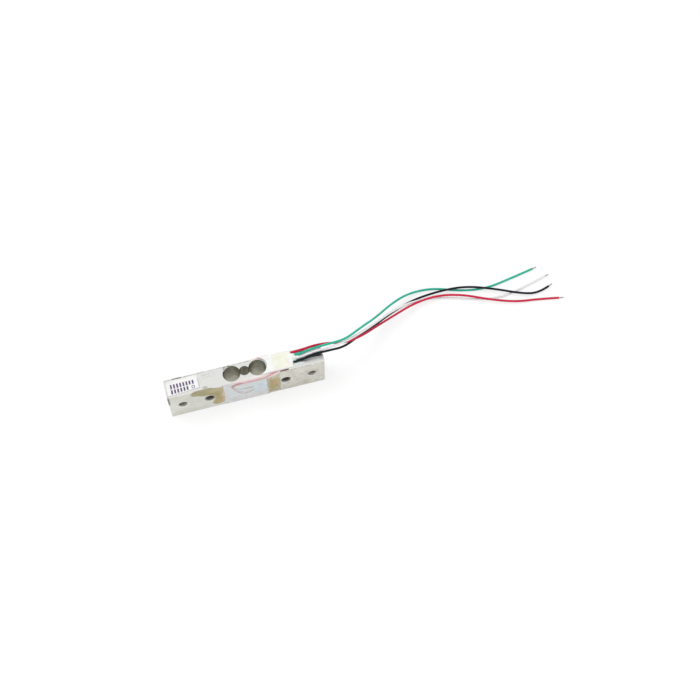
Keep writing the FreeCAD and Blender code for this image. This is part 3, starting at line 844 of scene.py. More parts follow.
@dataclass(frozen=True)
class LabelPaper(Finish):
    """White coated paper with a faint grain, dusty at its rim."""

    name: str = "label_paper"
    colour: Colour = (0.85, 0.845, 0.84)
    fibre: Colour = (0.91, 0.91, 0.91)
    dusty: Colour = (0.70, 0.695, 0.68)

    def paint(self, shade: Shader) -> None:
        """Pale fibres, with dust along the rim and over the rear corner of the load end."""
        fibres = shade.noise(0.08, 4.0, 0.7)
        clouds = shade.noise(2.4, 4.0, 0.55)
        x, y, _ = shade.axes()
        rim = shade.product(
            shade.ramp(shade.own("rim"), 0.0, 0.45, 1.0, 0.0), shade.ramp(clouds, 0.35, 0.6), 0.7
        )
        corner = shade.ramp(shade.total(y, shade.product(x, -0.3)), 7.6, 9.2, 0.0, 0.9)
        colour = shade.coats(
            self.colour,
            (shade.ramp(fibres, 0.5, 0.8, 0.0, 0.25), self.fibre),
            (shade.maths("MAXIMUM", rim, corner), self.dusty),
        )
        shade.set(
            Base_Color=colour, Roughness=shade.rough(fibres, 0.38, 0.5), Coat_Weight=0.12, Coat_Roughness=0.35
        )
        shade.bump(shade.weighed((fibres, 0.4), (clouds, 0.6)), 0.012, 0.5)


@dataclass(frozen=True)
class PrintedInk(Finish):
    """Flat printed ink that has not quite covered the paper."""

    name: str = "violet_ink"
    colour: Colour = (0.085, 0.055, 0.13)
    thin: Colour = (0.25, 0.20, 0.32)

    def paint(self, shade: Shader) -> None:
        """Full ink, thin where the paper's grain shows through."""
        gaps = shade.noise(0.16, 5.0, 0.7)
        colour = shade.blend(shade.ramp(gaps, 0.5, 0.72), self.colour, self.thin)
        shade.set(Base_Color=colour, Roughness=shade.rough(gaps, 0.42, 0.6))
        shade.bump(gaps, 0.004, 0.4)


@dataclass(frozen=True)
class ClearFilm(Finish):
    """A pale bluish coating over the gauges, cloudy and slightly wavy."""

    name: str = "clear_film"
    colour: Colour = (0.95, 0.965, 0.97)
    milky: Colour = (0.98, 0.98, 0.97)
    over_gauge: Colour = (0.80, 0.90, 0.94)
    edge: Colour = (0.60, 0.53, 0.39)
    orange: Colour = (0.82, 0.50, 0.36)
    left_x: float = -7.0
    right_x: float = 5.7
    alpha: float = 0.70

    def paint(self, shade: Shader) -> None:
        """Cloudy film, bluer over the gauges, with glue under both of its ends."""
        clouds = shade.noise(2.6, 5.0, 0.6, 0.5)
        waves = shade.noise(1.1, 2.0, 0.4, 0.3)
        x, _, z = shade.axes()
        gauge = shade.product(
            shade.within(shade.maths("ABSOLUTE", x), 0.9, 5.6, 0.3), shade.within(z, 3.1, 8.9, 0.3),
            shade.ramp(x, -6.0, 6.0, 0.35, 1.0),
        )
        at_left = shade.ramp(x, self.left_x + 0.1, self.left_x - 0.2)
        left = shade.product(at_left, shade.ramp(z, 2.0, 5.0), 0.8)
        colour = shade.coats(
            self.colour,
            (shade.ramp(clouds, 0.35, 0.68), self.milky),
            (gauge, self.over_gauge),
            (shade.ramp(x, self.right_x - 0.2, self.right_x + 0.3, 0.0, 0.95), self.edge),
            (left, self.orange),
        )
        shade.set(
            Base_Color=colour, Roughness=shade.rough(clouds, 0.22, 0.4), Alpha=self.alpha, IOR=1.5,
            Coat_Weight=1.0, Coat_Roughness=0.15,
        )
        shade.bump(shade.weighed((waves, 0.8), (clouds, 0.2)), 0.03, 0.6)


@dataclass(frozen=True)
class CarrierFilm(Finish):
    """The gauges' own backing: thin polyimide, smooth and faintly mottled."""

    name: str = "gauge_carrier"
    colour: Colour = (0.66, 0.84, 0.90)
    mottle: Colour = (0.55, 0.75, 0.83)

    def paint(self, shade: Shader) -> None:
        """Two close blues in soft clouds."""
        clouds = shade.noise(0.8, 4.0, 0.6)
        colour = shade.blend(shade.ramp(clouds, 0.3, 0.7), self.colour, self.mottle)
        shade.set(Base_Color=colour, Roughness=shade.rough(clouds, 0.3, 0.45))
        shade.bump(clouds, 0.005, 0.4)


@dataclass(frozen=True)
class EtchedFoil(Finish):
    """Etched constantan foil, brushed along its strands."""

    name: str = "gauge_foil"
    colour: Colour = (0.66, 0.71, 0.73)
    tarnish: Colour = (0.50, 0.56, 0.60)

    def paint(self, shade: Shader) -> None:
        """Dull metal with tarnished clouds and fine brushing along the beam."""
        brushed = shade.noise(0.04, 3.0, 0.6, 0.0, (20, 1, 1))
        clouds = shade.noise(0.9, 4.0, 0.6)
        colour = shade.blend(shade.ramp(clouds, 0.35, 0.7), self.colour, self.tarnish)
        shade.set(Base_Color=colour, Metallic=1.0, Roughness=shade.rough(brushed, 0.3, 0.48))
        shade.bump(brushed, 0.003, 0.5)


@dataclass(frozen=True)
class SolderMetal(Finish):
    """Bright solder or tin, with a frosty skin."""

    name: str = "solder"
    colour: Colour = (0.66, 0.665, 0.68)
    frost: Colour = (0.50, 0.50, 0.50)

    def paint(self, shade: Shader) -> None:
        """Bright metal, frosted in patches and finely grained."""
        grains = shade.noise(0.12, 5.0, 0.65)
        clouds = shade.noise(0.5, 3.0, 0.5)
        colour = shade.blend(shade.ramp(clouds, 0.4, 0.7), self.colour, self.frost)
        shade.set(Base_Color=colour, Metallic=1.0, Roughness=shade.ramp(grains, 0.35, 0.7, 0.2, 0.42))
        shade.bump(grains, 0.01, 0.5)


@dataclass(frozen=True)
class RedEnamel(Finish):
    """Fine copper wire under red lacquer, glossy and a little uneven."""

    name: str = "red_enamel"
    colour: Colour = (0.74, 0.34, 0.39)
    thin: Colour = (0.78, 0.46, 0.47)
    loose: Colour = (0.80, 0.64, 0.60)

    def paint(self, shade: Shader) -> None:
        """Red lacquer, thin in places and paler where the wires run down to their tabs."""
        runs = shade.noise(0.5, 4.0, 0.6)
        below = shade.ramp(shade.axes()[2], 9.8, 9.0)
        colour = shade.coats(
            self.colour, (shade.ramp(runs, 0.45, 0.75), self.thin), (shade.product(below, 0.85), self.loose)
        )
        shade.set(
            Base_Color=colour, Roughness=shade.rough(runs, 0.2, 0.34), Coat_Weight=0.5, Coat_Roughness=0.1
        )
        shade.bump(runs, 0.004, 0.5)


@dataclass(frozen=True)
class DriedAdhesive(Finish):
    """Tan adhesive that has dried to an uneven skin, thin at its rim."""

    name: str = "dried_adhesive"
    colour: Colour = (0.48, 0.42, 0.19)
    dark: Colour = (0.37, 0.30, 0.12)
    rim: Colour = (0.60, 0.57, 0.44)
    olive: Colour = (0.33, 0.31, 0.145)
    amber: Colour = (0.51, 0.38, 0.175)
    rosy: Colour = (0.55, 0.41, 0.31)
    spot: Colour = (0.54, 0.315, 0.15)
    spot_place: tuple[float, float] = (8.4, 5.8)
    spot_radius: float = 1.25

    def paint(self, shade: Shader) -> None:
        """Tan clouds, olive to the left and amber or rosy near the film, an orange spot and a pale rim."""
        x, _, z = shade.axes()
        clouds = shade.noise(2.0, 5.0, 0.6, 0.4)
        grains = shade.noise(0.3, 5.0, 0.65)
        drift = shade.total(x, shade.ramp(clouds, 0.2, 0.8, -1.2, 1.2))
        low_right = shade.product(shade.within(drift, -9.4, 0.0, 0.5), shade.ramp(z, 6.5, 3.5), 0.6)
        above = shade.product(shade.within(drift, -12.0, -8.0, 0.6), shade.ramp(z, 9.0, 10.6), 0.3)
        by_film = shade.product(shade.within(x, -8.0, 0.0, 0.25), 0.35)
        across, up = (shade.total(axis, -place) for axis, place in zip((x, z), self.spot_place))
        far = shade.total(shade.slant(across, up), shade.ramp(clouds, 0.2, 0.8, -0.35, 0.35))
        pale_top = shade.product(
            shade.ramp(x, 6.8, 7.6), shade.ramp(z, 7.9, 9.2), shade.ramp(clouds, 0.2, 0.6, 0.5, 1.0), 0.8
        )
        rosy_top = shade.product(shade.within(x, 5.5, 7.5, 0.4), shade.ramp(z, 7.5, 9.0), 0.8)
        edge = shade.total(shade.own("rim"), shade.ramp(grains, 0.3, 0.7, -0.15, 0.15))
        colour = shade.coats(
            self.colour,
            (shade.ramp(clouds, 0.35, 0.65), self.dark),
            (shade.ramp(drift, -10.8, -12.2, 0.0, 0.85), self.olive),
            (low_right, self.amber),
            (above, self.rosy),
            (by_film, self.rosy),
            (shade.ramp(grains, 0.55, 0.75, 0.0, 0.35), self.rim),
            (shade.ramp(far, 0.2, self.spot_radius + 0.45, 0.85, 0.0), self.spot),
            (pale_top, self.rim),
            (rosy_top, self.rosy),
            (shade.ramp(edge, 0.0, 0.45, 0.5, 0.0), self.rim),
        )
        shade.set(
            Base_Color=colour, Roughness=shade.rough(clouds, 0.36, 0.58), Coat_Weight=0.15, Coat_Roughness=0.3
        )
        shade.bump(shade.weighed((clouds, 0.6), (grains, 0.4)), 0.03, 0.6)


@dataclass(frozen=True)
class Insulation(Finish):
    """Soft drawn insulation, rubbed in patches and dusty."""

    colour: Colour
    rubbed: Colour
    roughness: float = 0.36
    shine: float = 0.4

    def paint(self, shade: Shader) -> None:
        """One colour, paler where it's rubbed and where dust lies."""
        clouds = shade.noise(3.0, 4.0, 0.55)
        dust = shade.noise(0.18, 5.0, 0.7)
        colour = shade.coats(
            self.colour,
            (shade.ramp(clouds, 0.35, 0.75, 0.0, 0.6), self.rubbed),
            (shade.ramp(dust, 0.68, 0.85, 0.0, 0.3), self.rubbed),
        )
        shade.set(
            Base_Color=colour,
            Roughness=shade.rough(clouds, self.roughness - 0.06, self.roughness + 0.12),
            Specular_IOR_Level=self.shine,
        )
        shade.bump(shade.weighed((dust, 0.4), (clouds, 0.6)), 0.012, 0.5)


@dataclass(frozen=True)
class Laminate(Finish):
    """The terminal board: thin green glass-fibre laminate with its weave showing."""

    name: str = "terminal_laminate"
    colour: Colour = (0.16, 0.26, 0.10)
    weave: Colour = (0.24, 0.34, 0.16)

    def paint(self, shade: Shader) -> None:
        """A warp and a weft of stretched noise."""
        warp = shade.noise(0.12, 2.0, 0.5, 0.0, (6, 1, 1))
        weft = shade.noise(0.12, 2.0, 0.5, 0.0, (1, 6, 1))
        cloth = shade.maths("MAXIMUM", warp, weft)
        colour = shade.blend(shade.ramp(cloth, 0.5, 0.7), self.colour, self.weave)
        shade.set(Base_Color=colour, Roughness=shade.ramp(cloth, 0.4, 0.7, 0.35, 0.5))
        shade.bump(cloth, 0.008, 0.5)


@dataclass(frozen=True)
class CopperPad(Finish):
    """Bare copper, tarnished in patches."""

    name: str = "copper_pad"
    colour: Colour = (0.80, 0.42, 0.26)
    tarnish: Colour = (0.42, 0.20, 0.12)

    def paint(self, shade: Shader) -> None:
        """Copper with clouds of tarnish."""
        clouds = shade.noise(0.7, 5.0, 0.6)
        colour = shade.blend(shade.ramp(clouds, 0.45, 0.75), self.colour, self.tarnish)
        shade.set(Base_Color=colour, Metallic=1.0, Roughness=shade.rough(clouds, 0.28, 0.5))
        shade.bump(clouds, 0.004, 0.4)


# ------------------------------------------------------------------ studio
@dataclass
class Studio:
    """The pale floor, the soft lamps and the camera."""

    camera_place: Point = (-14.0905, -149.9331, 286.8419)
    camera_turn: float = -17.106
    camera_dip: float = 60.54
    camera_tilt: float = -1.4597
    lens: float = 55.0
    sensor: float = 36.0
    floor_half: float = 3.0
    sky: float = 0.62
    backdrop: float = 1.0
    floor_colour: Colour = (0.86, 0.86, 0.86)
    floor_glow: float = 0.55
    glow_strength: float = 1.15

    def build(self) -> None:
        """Make the camera, the world, the floor and the lamps."""
        view = bpy.context.scene.view_settings
        view.view_transform = "Standard"
        self.place_camera()
        self.light_world()
        self.lay_floor()
        self.hang_lamp("key_lamp", (-0.28, 0.18, 0.60), 0.50, 2.2)
        self.hang_lamp("fill_lamp", (0.35, -0.45, 0.40), 0.60, 1.1)
        log.info("studio: camera, floor, world and two lamps")

    def place_camera(self) -> None:
        """Set up the camera, looking down at the front face from the left."""
        turn, dip, tilt = (math.radians(a) for a in (self.camera_turn, self.camera_dip, self.camera_tilt))
        ahead = Vector((-math.sin(turn) * math.cos(dip), math.cos(turn) * math.cos(dip), -math.sin(dip)))
        level = Vector((math.cos(turn), math.sin(turn), 0.0))
        down = ahead.cross(level)
        right = math.cos(tilt) * level + math.sin(tilt) * down
        below = -math.sin(tilt) * level + math.cos(tilt) * down
        data = bpy.data.cameras.new("camera")
        data.sensor_width = self.sensor
        data.lens = self.lens
        data.clip_start = 0.01
        data.clip_end = 20.0
        camera = linked("camera", data)
        turned = Matrix((right, -below, -ahead)).transposed().to_4x4()
        camera.matrix_world = Matrix.Translation(Vector(self.camera_place) * MM) @ turned
        bpy.context.scene.camera = camera

    def ray_share(self, tree: bpy.types.NodeTree) -> bpy.types.NodeSocket:
        """1 for the rays that see the backdrop: from the camera, in a gloss or through glass.

        Args:
            tree: The node tree to add the switch to.

        Returns:
            The switch's output.
        """
        path = tree.nodes.new("ShaderNodeLightPath")
        seen = path.outputs["Is Camera Ray"]
        for name in ("Is Glossy Ray", "Is Transmission Ray"):
            either = tree.nodes.new("ShaderNodeMath")
            either.operation = "MAXIMUM"
            tree.links.new(seen, either.inputs[0])
            tree.links.new(path.outputs[name], either.inputs[1])
            seen = either.outputs["Value"]
        return seen

    def light_world(self) -> None:
        """Light the object from all round, and show a white backdrop."""
        world = bpy.data.worlds.new("studio_world")
        bpy.context.scene.world = world
        world.use_nodes = True
        tree = world.node_tree
        sky = tree.nodes["Background"]
        strength = tree.nodes.new("ShaderNodeMapRange")
        tree.links.new(self.ray_share(tree), strength.inputs["Value"])
        strength.inputs["To Min"].default_value = self.sky
        strength.inputs["To Max"].default_value = self.backdrop
        sky.inputs["Color"].default_value = (1.0, 1.0, 1.0, 1.0)
        tree.links.new(strength.outputs["Result"], sky.inputs["Strength"])

    def lay_floor(self) -> None:
        """Lay the pale floor, which glows a little for what looks at it and keeps shadows."""
        bpy.ops.mesh.primitive_plane_add(size=2 * self.floor_half, location=(0, 0, 0))
        floor = named("floor")
        material = bpy.data.materials.new("pale_floor")
        material.use_nodes = True
        tree = material.node_tree
        tree.nodes.remove(tree.nodes["Principled BSDF"])
        matt = tree.nodes.new("ShaderNodeBsdfDiffuse")
        matt.inputs["Color"].default_value = (*self.floor_colour, 1.0)
        glow = tree.nodes.new("ShaderNodeEmission")
        glow.inputs["Color"].default_value = (1.0, 1.0, 1.0, 1.0)
        glow.inputs["Strength"].default_value = self.glow_strength
        mix = tree.nodes.new("ShaderNodeMixShader")
        share = tree.nodes.new("ShaderNodeMath")
        share.operation = "MULTIPLY"
        share.inputs[1].default_value = self.floor_glow
        tree.links.new(self.ray_share(tree), share.inputs[0])
        tree.links.new(share.outputs["Value"], mix.inputs["Fac"])
        tree.links.new(matt.outputs["BSDF"], mix.inputs[1])
        tree.links.new(glow.outputs["Emission"], mix.inputs[2])
        tree.links.new(mix.outputs["Shader"], tree.nodes["Material Output"].inputs["Surface"])
        floor.data.materials.append(material)

    def hang_lamp(self, name: str, place: Point, width: float, power: float) -> None:
        """Hang a square soft lamp that looks at the beam.

        Args:
            name: The lamp's name.
            place: Its middle, in metres.
            width: Its width in metres.
            power: Its power in watts.
        """
        data = bpy.data.lights.new(name, "AREA")
        data.size = width
        data.energy = power
        lamp = linked(name, data)
        lamp.location = place
        lamp.rotation_euler = (-Vector(place)).to_track_quat("-Z", "Y").to_euler()
        lamp.visible_glossy = False


# ------------------------------------------------------------------ leads
@dataclass
class Lead:
    """One loose lead: its row in the sealant and the points that its line is drawn to, in millimetres."""

    colour: str
    row: float
    length: float
    route: list[Point]


@dataclass
class Leads:
    """The four loose leads, each an insulated cord with a stripped and tinned tip."""

    diameter: float = 0.7
    start_x: float = 13.2
    start_z: float = 12.5
    straight: float = 3.8
    sealant_end: float = 14.6
    tip_length: float = 1.47
    tip_sunk: float = 0.05
    strand: float = 0.14
    strand_turns: float = 1.1
    twisted: int = 6
    leads: list[Lead] = field(default_factory=lambda: [
        Lead("black", -1.3, 96.9, [
            (21.0, -0.9, 13.7), (25.5, -0.9, 13.6), (30.5, 0.4, 11.2), (36.5, 5.1, 7.3),
            (42.5, 9.2, 3.7), (49.0, 13.4, 1.3), (57.0, 16.7, 0.6), (66.0, 17.4, 1.2),
            (75.0, 16.8, 1.5), (84.0, 13.2, 1.5), (91.5, 9.6, 1.2), (97.0, 8.8, 0.4),
            (101.0, 10.4, 0.4),
        ]),
        Lead("white", -0.2, 95.1, [
            (21.0, 0.0, 13.4), (25.5, -0.1, 14.0), (30.5, 0.9, 13.1), (36.5, 4.0, 10.7),
            (42.5, 8.0, 7.6), (49.0, 12.3, 4.6), (56.0, 15.3, 2.0), (63.0, 16.1, 0.4),
            (70.0, 14.3, 0.4), (77.0, 11.7, 0.4), (85.0, 10.3, 0.4), (93.0, 12.0, 0.4),
            (101.0, 14.2, 0.4),
        ]),
        Lead("green", 0.9, 94.1, [
            (21.5, 1.0, 13.8), (26.0, 0.8, 14.5), (31.0, 1.5, 13.6), (37.0, 5.5, 11.2),
            (43.0, 9.9, 7.2), (50.0, 15.6, 3.5), (57.0, 19.4, 0.9), (65.0, 19.5, 0.4),
            (73.0, 16.2, 0.4), (81.0, 14.8, 0.4), (90.0, 16.3, 0.4), (98.3, 18.0, 0.4),
        ]),
        Lead("red", 2.0, 95.9, [
            (21.5, 2.4, 12.8), (26.0, 2.2, 12.6), (31.0, 1.5, 11.4), (37.0, 3.7, 9.4),
            (43.0, 7.6, 6.1), (50.0, 11.4, 3.5), (57.0, 14.6, 2.0), (65.0, 15.9, 1.5),
            (73.0, 14.0, 1.6), (81.0, 9.9, 1.5), (89.0, 7.4, 0.7), (96.0, 6.7, 0.4),
            (102.6, 5.4, 0.4),
        ]),
    ])
    finishes: dict[str, Insulation] = field(default_factory=lambda: {
        "black": Insulation("black_insulation", (0.004, 0.005, 0.012), (0.012, 0.014, 0.026), 0.42, 0.2),
        "white": Insulation("white_insulation", (0.84, 0.84, 0.85), (0.76, 0.76, 0.78), 0.4),
        "green": Insulation("green_insulation", (0.012, 0.43, 0.29), (0.05, 0.55, 0.41), 0.36, 0.3),
        "red": Insulation("red_insulation", (0.56, 0.006, 0.045), (0.68, 0.03, 0.085), 0.4, 0.25),
    })

    def build(self) -> None:
        """Make the four leads and their tips."""
        tin = SolderMetal("tinned_strand", (0.62, 0.62, 0.62), (0.40, 0.40, 0.40)).make()
        for lead in self.leads:
            points = self.points(lead)
            tip = self.tip(lead, points, tin)
            cord = self.insulation(lead, points)

    def points(self, lead: Lead) -> list[Vector]:
        """The points of a lead's line, in metres, from its start in the sealant."""
        start = (self.start_x, lead.row, self.start_z)
        out = (self.start_x + self.straight, lead.row, self.start_z)
        return [Vector(point) * MM for point in (start, out, *lead.route)]

    def insulation(self, lead: Lead, points: list[Vector]) -> bpy.types.Object:
        """The round insulation along the lead's line.

        Args:
            lead: The lead.
            points: The points of its line, in metres.

        Returns:
            The insulation, as a curve.
        """
        name = f"{lead.colour}_insulation"
        curve = bpy.data.curves.new(name, "CURVE")
        curve.dimensions = "3D"
        spline = curve.splines.new("NURBS")
        spline.points.add(len(points) - 1)
        for knot, point in zip(spline.points, points):
            knot.co = (*point, 1.0)
        spline.order_u = 3
        spline.use_endpoint_u = True
        spline.resolution_u = 12
        curve.bevel_depth = self.diameter / 2 * MM
        curve.bevel_resolution = 5
        curve.use_fill_caps = True
        finish = self.finishes[lead.colour].make()
        return accept(linked(name, curve), [finish], (f"{lead.colour}_lead",))

    def tip(self, lead: Lead, points: list[Vector], tin: bpy.types.Material) -> bpy.types.Object:
        """The bare end of the core: six tinned strands twisted round a seventh.

        Args:
            lead: The lead.
            points: The points of its line, in metres.
            tin: The strands' finish.

        Returns:
            The tip.
        """
        end = points[-1] / MM
        ahead = (points[-1] - points[-2]).normalized()
        first = self.strand_piece(f"{lead.colour}_strand", self.strand)
        strands = [first, self.strand_piece(f"{lead.colour}_core_strand", 0.0)]
        for number in range(1, self.twisted):
            strand = linked(first.name, first.data.copy())
            strand.rotation_euler = (0.0, 0.0, number * 2 * math.pi / self.twisted)
            strands.append(strand)
        tip = joined(f"{lead.colour}_tinned_tip", strands)
        tip.rotation_euler = ahead.to_track_quat("Z", "Y").to_euler()
        tip.location = end - ahead * self.tip_sunk
        settle(tip)
        return deliver(tip, [tin], (f"{lead.colour}_lead_tip",))

    def strand_piece(self, name: str, out: float) -> bpy.types.Object:
        """One strand up the Z axis: a ring carried up a slow helix and closed at both ends.

        Args:
            name: The strand's name.
            out: The helix's radius.

        Returns:
            The strand.
        """
        bpy.ops.mesh.primitive_circle_add(vertices=10, radius=self.strand / 2, location=(out, 0.0, 0.0))
        strand = named(name)
        modify(
            strand, "SCREW", axis="Z", angle=2 * math.pi * self.strand_turns, iterations=1,
            screw_offset=self.tip_length + self.tip_sunk, steps=16, render_steps=16, use_merge_vertices=False,
        )
        edit(strand, ("fill_holes", {"sides": 0}), ("normals_make_consistent", {"inside": False}))
        return strand


# ------------------------------------------------------------------ beam
@dataclass
class Beam:
    """The spring element: a bar with binocular bores and four tapped holes."""

    edge_break: float = 0.2
    bore_diameter: float = 5.2
    bore_spacing: float = 7.7
    web_diameter: float = 3.1
    end_margin: float = 4.0
    hole_spacing: float = 8.0
    tap_drill: float = 2.5
    thread_diameter: float = 3.0
    pitch: float = 0.5
    mouth: float = 3.1
    slip_place: tuple[float, float] = (-4.75, 1.85)
    slip_radius: float = 1.15
    slip_depth: float = 0.35
    low: Vector = field(init=False)
    high: Vector = field(init=False)

    def build(self) -> None:
        """Model the bar, cut its bores and threads and dress it."""
        self.low, self.high = corners("beam")
        bar = block("beam_bar", self.low, self.high)
        modify(bar, "BEVEL", width=self.edge_break, segments=3, limit_method="NONE")
        cut(bar, *self.bore_cutters())
        for x in self.hole_places():
            cut(bar, self.tap(x), *self.mouth_cutters(x))
        self.mark_faces(bar)
        finishes = [
            BeamMetal().make(),
            CutMetal().make(),
            # The threads' colours are darker than the bores': painted shade inside the narrow holes.
            CutMetal("threaded_aluminium", (0.34, 0.33, 0.29), (0.14, 0.125, 0.095), 0.3, 14.0, 1).make(),
            WornEdge().make(),
        ]
        deliver(bar, finishes, ("beam",))

    def hole_places(self) -> list[float]:
        """The X of the four tapped holes."""
        outer = self.high.x - self.end_margin
        inner = outer - self.hole_spacing
        return [-outer, -inner, inner, outer]

    def bore_cutters(self) -> list[bpy.types.Object]:
        """The drills of the two bores and the web bore, and of a slip beside one bore's rim.

        Returns:
            The cutters.
        """
        below, above = self.low.z - 1, self.high.z + 1
        half, bore = self.bore_spacing / 2, self.bore_diameter
        drills = [
            rod("drill", diameter / 2, (x, 0, below), (x, 0, above), 96)
            for x, diameter in ((-half, bore), (half, bore), (0, self.web_diameter))
        ]
        x, y = self.slip_place
        start = (x, y, self.high.z - self.slip_depth)
        drills.append(rod("slip", self.slip_radius, start, (x - 0.4, y + 0.25, above), 48))
        return drills

    def tap(self, x: float) -> bpy.types.Object:
        """A cutter shaped like the thread: a V profile carried up a helix.

        Args:
            x: The X of the hole.

        Returns:
            The cutter, through both measuring faces.
        """
        minor, major = self.tap_drill / 2, self.thread_diameter / 2
        turns = math.ceil((self.high.y - self.low.y) / self.pitch) + 4
        mesh = bpy.data.meshes.new("tap")
        eighth = self.pitch / 8
        outline = ((minor, 0), (minor, 2), (major, 4), (major, 5), (minor, 8))
        profile = [(radius, 0, step * eighth) for radius, step in outline]
        mesh.from_pydata(profile, [(n, n + 1) for n in range(len(profile) - 1)], [])
        tap = linked("tap", mesh)
        modify(
            tap, "SCREW", axis="Z", angle=2 * math.pi, screw_offset=self.pitch, iterations=turns, steps=36,
            render_steps=36, use_merge_vertices=True, merge_threshold=0.001,
        )
        edit(
            tap, ("remove_doubles", {"threshold": 0.001}), ("fill_holes", {"sides": 0}),
            ("normals_make_consistent", {"inside": False}),
        )
        tap.rotation_euler = (math.pi / 2, 0, 0)
        tap.location = (x, self.pitch * turns / 2, self.middle_height())
        settle(tap)
        return tap

    def middle_height(self) -> float:
        """The height of the tapped holes' axes, halfway up the bar."""
        return (self.low.z + self.high.z) / 2

    def mouth_cutters(self, x: float) -> list[bpy.types.Object]:
        """The countersinks that open one hole on both faces.

        Args:
            x: The X of the hole.

        Returns:
            The cutters.
        """
        reach = self.mouth / 2
        cones = []
        for face in Face:
            y = face.value * (self.high.y - reach / 2 + 0.001)
            bpy.ops.mesh.primitive_cone_add(
                vertices=48, radius1=reach, radius2=0, depth=reach, location=(x, y, self.middle_height()),
                rotation=(face.value * math.pi / 2, 0, 0),
            )
            cones.append(named("countersink"))
        return cones

    def mark_faces(self, bar: bpy.types.Object) -> None:
        """Give each face the number of the finish that its surface gets.

        Args:
            bar: The bar after its cuts.
        """
        middle, half = self.middle_height(), self.bore_spacing / 2
        bore_reach, hole_reach = self.bore_diameter / 2 + 0.05, self.mouth / 2 + 0.05
        for _ in Surface:
            bar.data.materials.append(None)
        for polygon in bar.data.polygons:
            centre, normal = polygon.center, polygon.normal
            from_bore = min(math.hypot(centre.x - x, centre.y) for x in (-half, half, 0))
            from_hole = min(math.hypot(centre.x - x, centre.z - middle) for x in self.hole_places())
            inside = abs(centre.y) < self.high.y - 0.3
            surface = Surface.OUTSIDE
            if abs(normal.z) < 0.6 and from_bore < bore_reach and inside:
                surface = Surface.BORE
            elif abs(normal.y) < 0.95 and from_hole < hole_reach:
                surface = Surface.THREAD
            elif max(abs(part) for part in normal) < 0.999:
                surface = Surface.BROKEN_EDGE
            polygon.material_index = surface.value


# ------------------------------------------------------------------ gauges
@dataclass
class GaugeFace:
    """What covers one measuring face: two gauges, their film, solder, link and wires."""

    face: Face
    film_corner: float = 0.4
    dot_radius: float = 0.30
    tab_x: float = 1.6
    tab_offset: float = 0.95

    def build(self, finishes: dict[str, bpy.types.Material]) -> None:
        """Make the film and the solder, and dress the foils, carriers and wires.

        Args:
            finishes: The materials, by name.
        """
        name = self.face.name.lower()
        for side in Side:
            dress(f"{name}_{side.name.lower()}_gauge_carrier", finishes["carrier"])
            dress(f"{name}_{side.name.lower()}_gauge_foil", finishes["foil"])
        dress(f"{name}_gauge_link", finishes["tin"])
        for wire in WIRES:
            dress(f"{name}_enamelled_wire_{wire}", finishes["enamel"])
        self.film(name, finishes["film"])
        self.solder(name, finishes["solder"])

    def film(self, name: str, finish: bpy.types.Material) -> None:
        """The clear film, with soft rounded corners and a thin rim.

        Args:
            name: The face's name.
            finish: The film's material.
        """
        low, high = corners(f"{name}_gauge_film")
        film = block(f"{name}_film", low, high)
        bevel_edges(film, 1, self.film_corner)
        modify(film, "BEVEL", width=0.05, segments=2, limit_method="ANGLE")
        deliver(film, [finish], (f"{name}_gauge_film",))

    def solder(self, name: str, finish: bpy.types.Material) -> None:
        """The four solder dots, each a mound with a blunt top.

        Args:
            name: The face's name.
            finish: The solder's material.
        """
        low, high = corners(f"{name}_gauge_solder")
        height = high.y - low.y
        base = low.y if self.face is Face.REAR else high.y
        middle = (low.z + high.z) / 2
        mounds = []
        for side in Side:
            for up in (-1, 1):
                place = (side.value * self.tab_x, base, middle + up * self.tab_offset)
                bpy.ops.mesh.primitive_uv_sphere_add(segments=24, ring_count=14, radius=1, location=place)
                mound = bpy.context.object
                mound.scale = (self.dot_radius, height, self.dot_radius * 1.1)
                named("mound")
                for vertex in mound.data.vertices:
                    inward = (vertex.co.y - base) * self.face.value
                    if inward < 0:
                        vertex.co.y = base
                    bulge = 1 + 0.12 * ripple(vertex.co, 0.5, 3.0 + up)
                    vertex.co.x = place[0] + (vertex.co.x - place[0]) * bulge
                mounds.append(mound)
        dots = joined(f"{name}_solder_dots", mounds)
        tidy_mesh(dots)
        deliver(dots, [finish], (f"{name}_gauge_solder",))


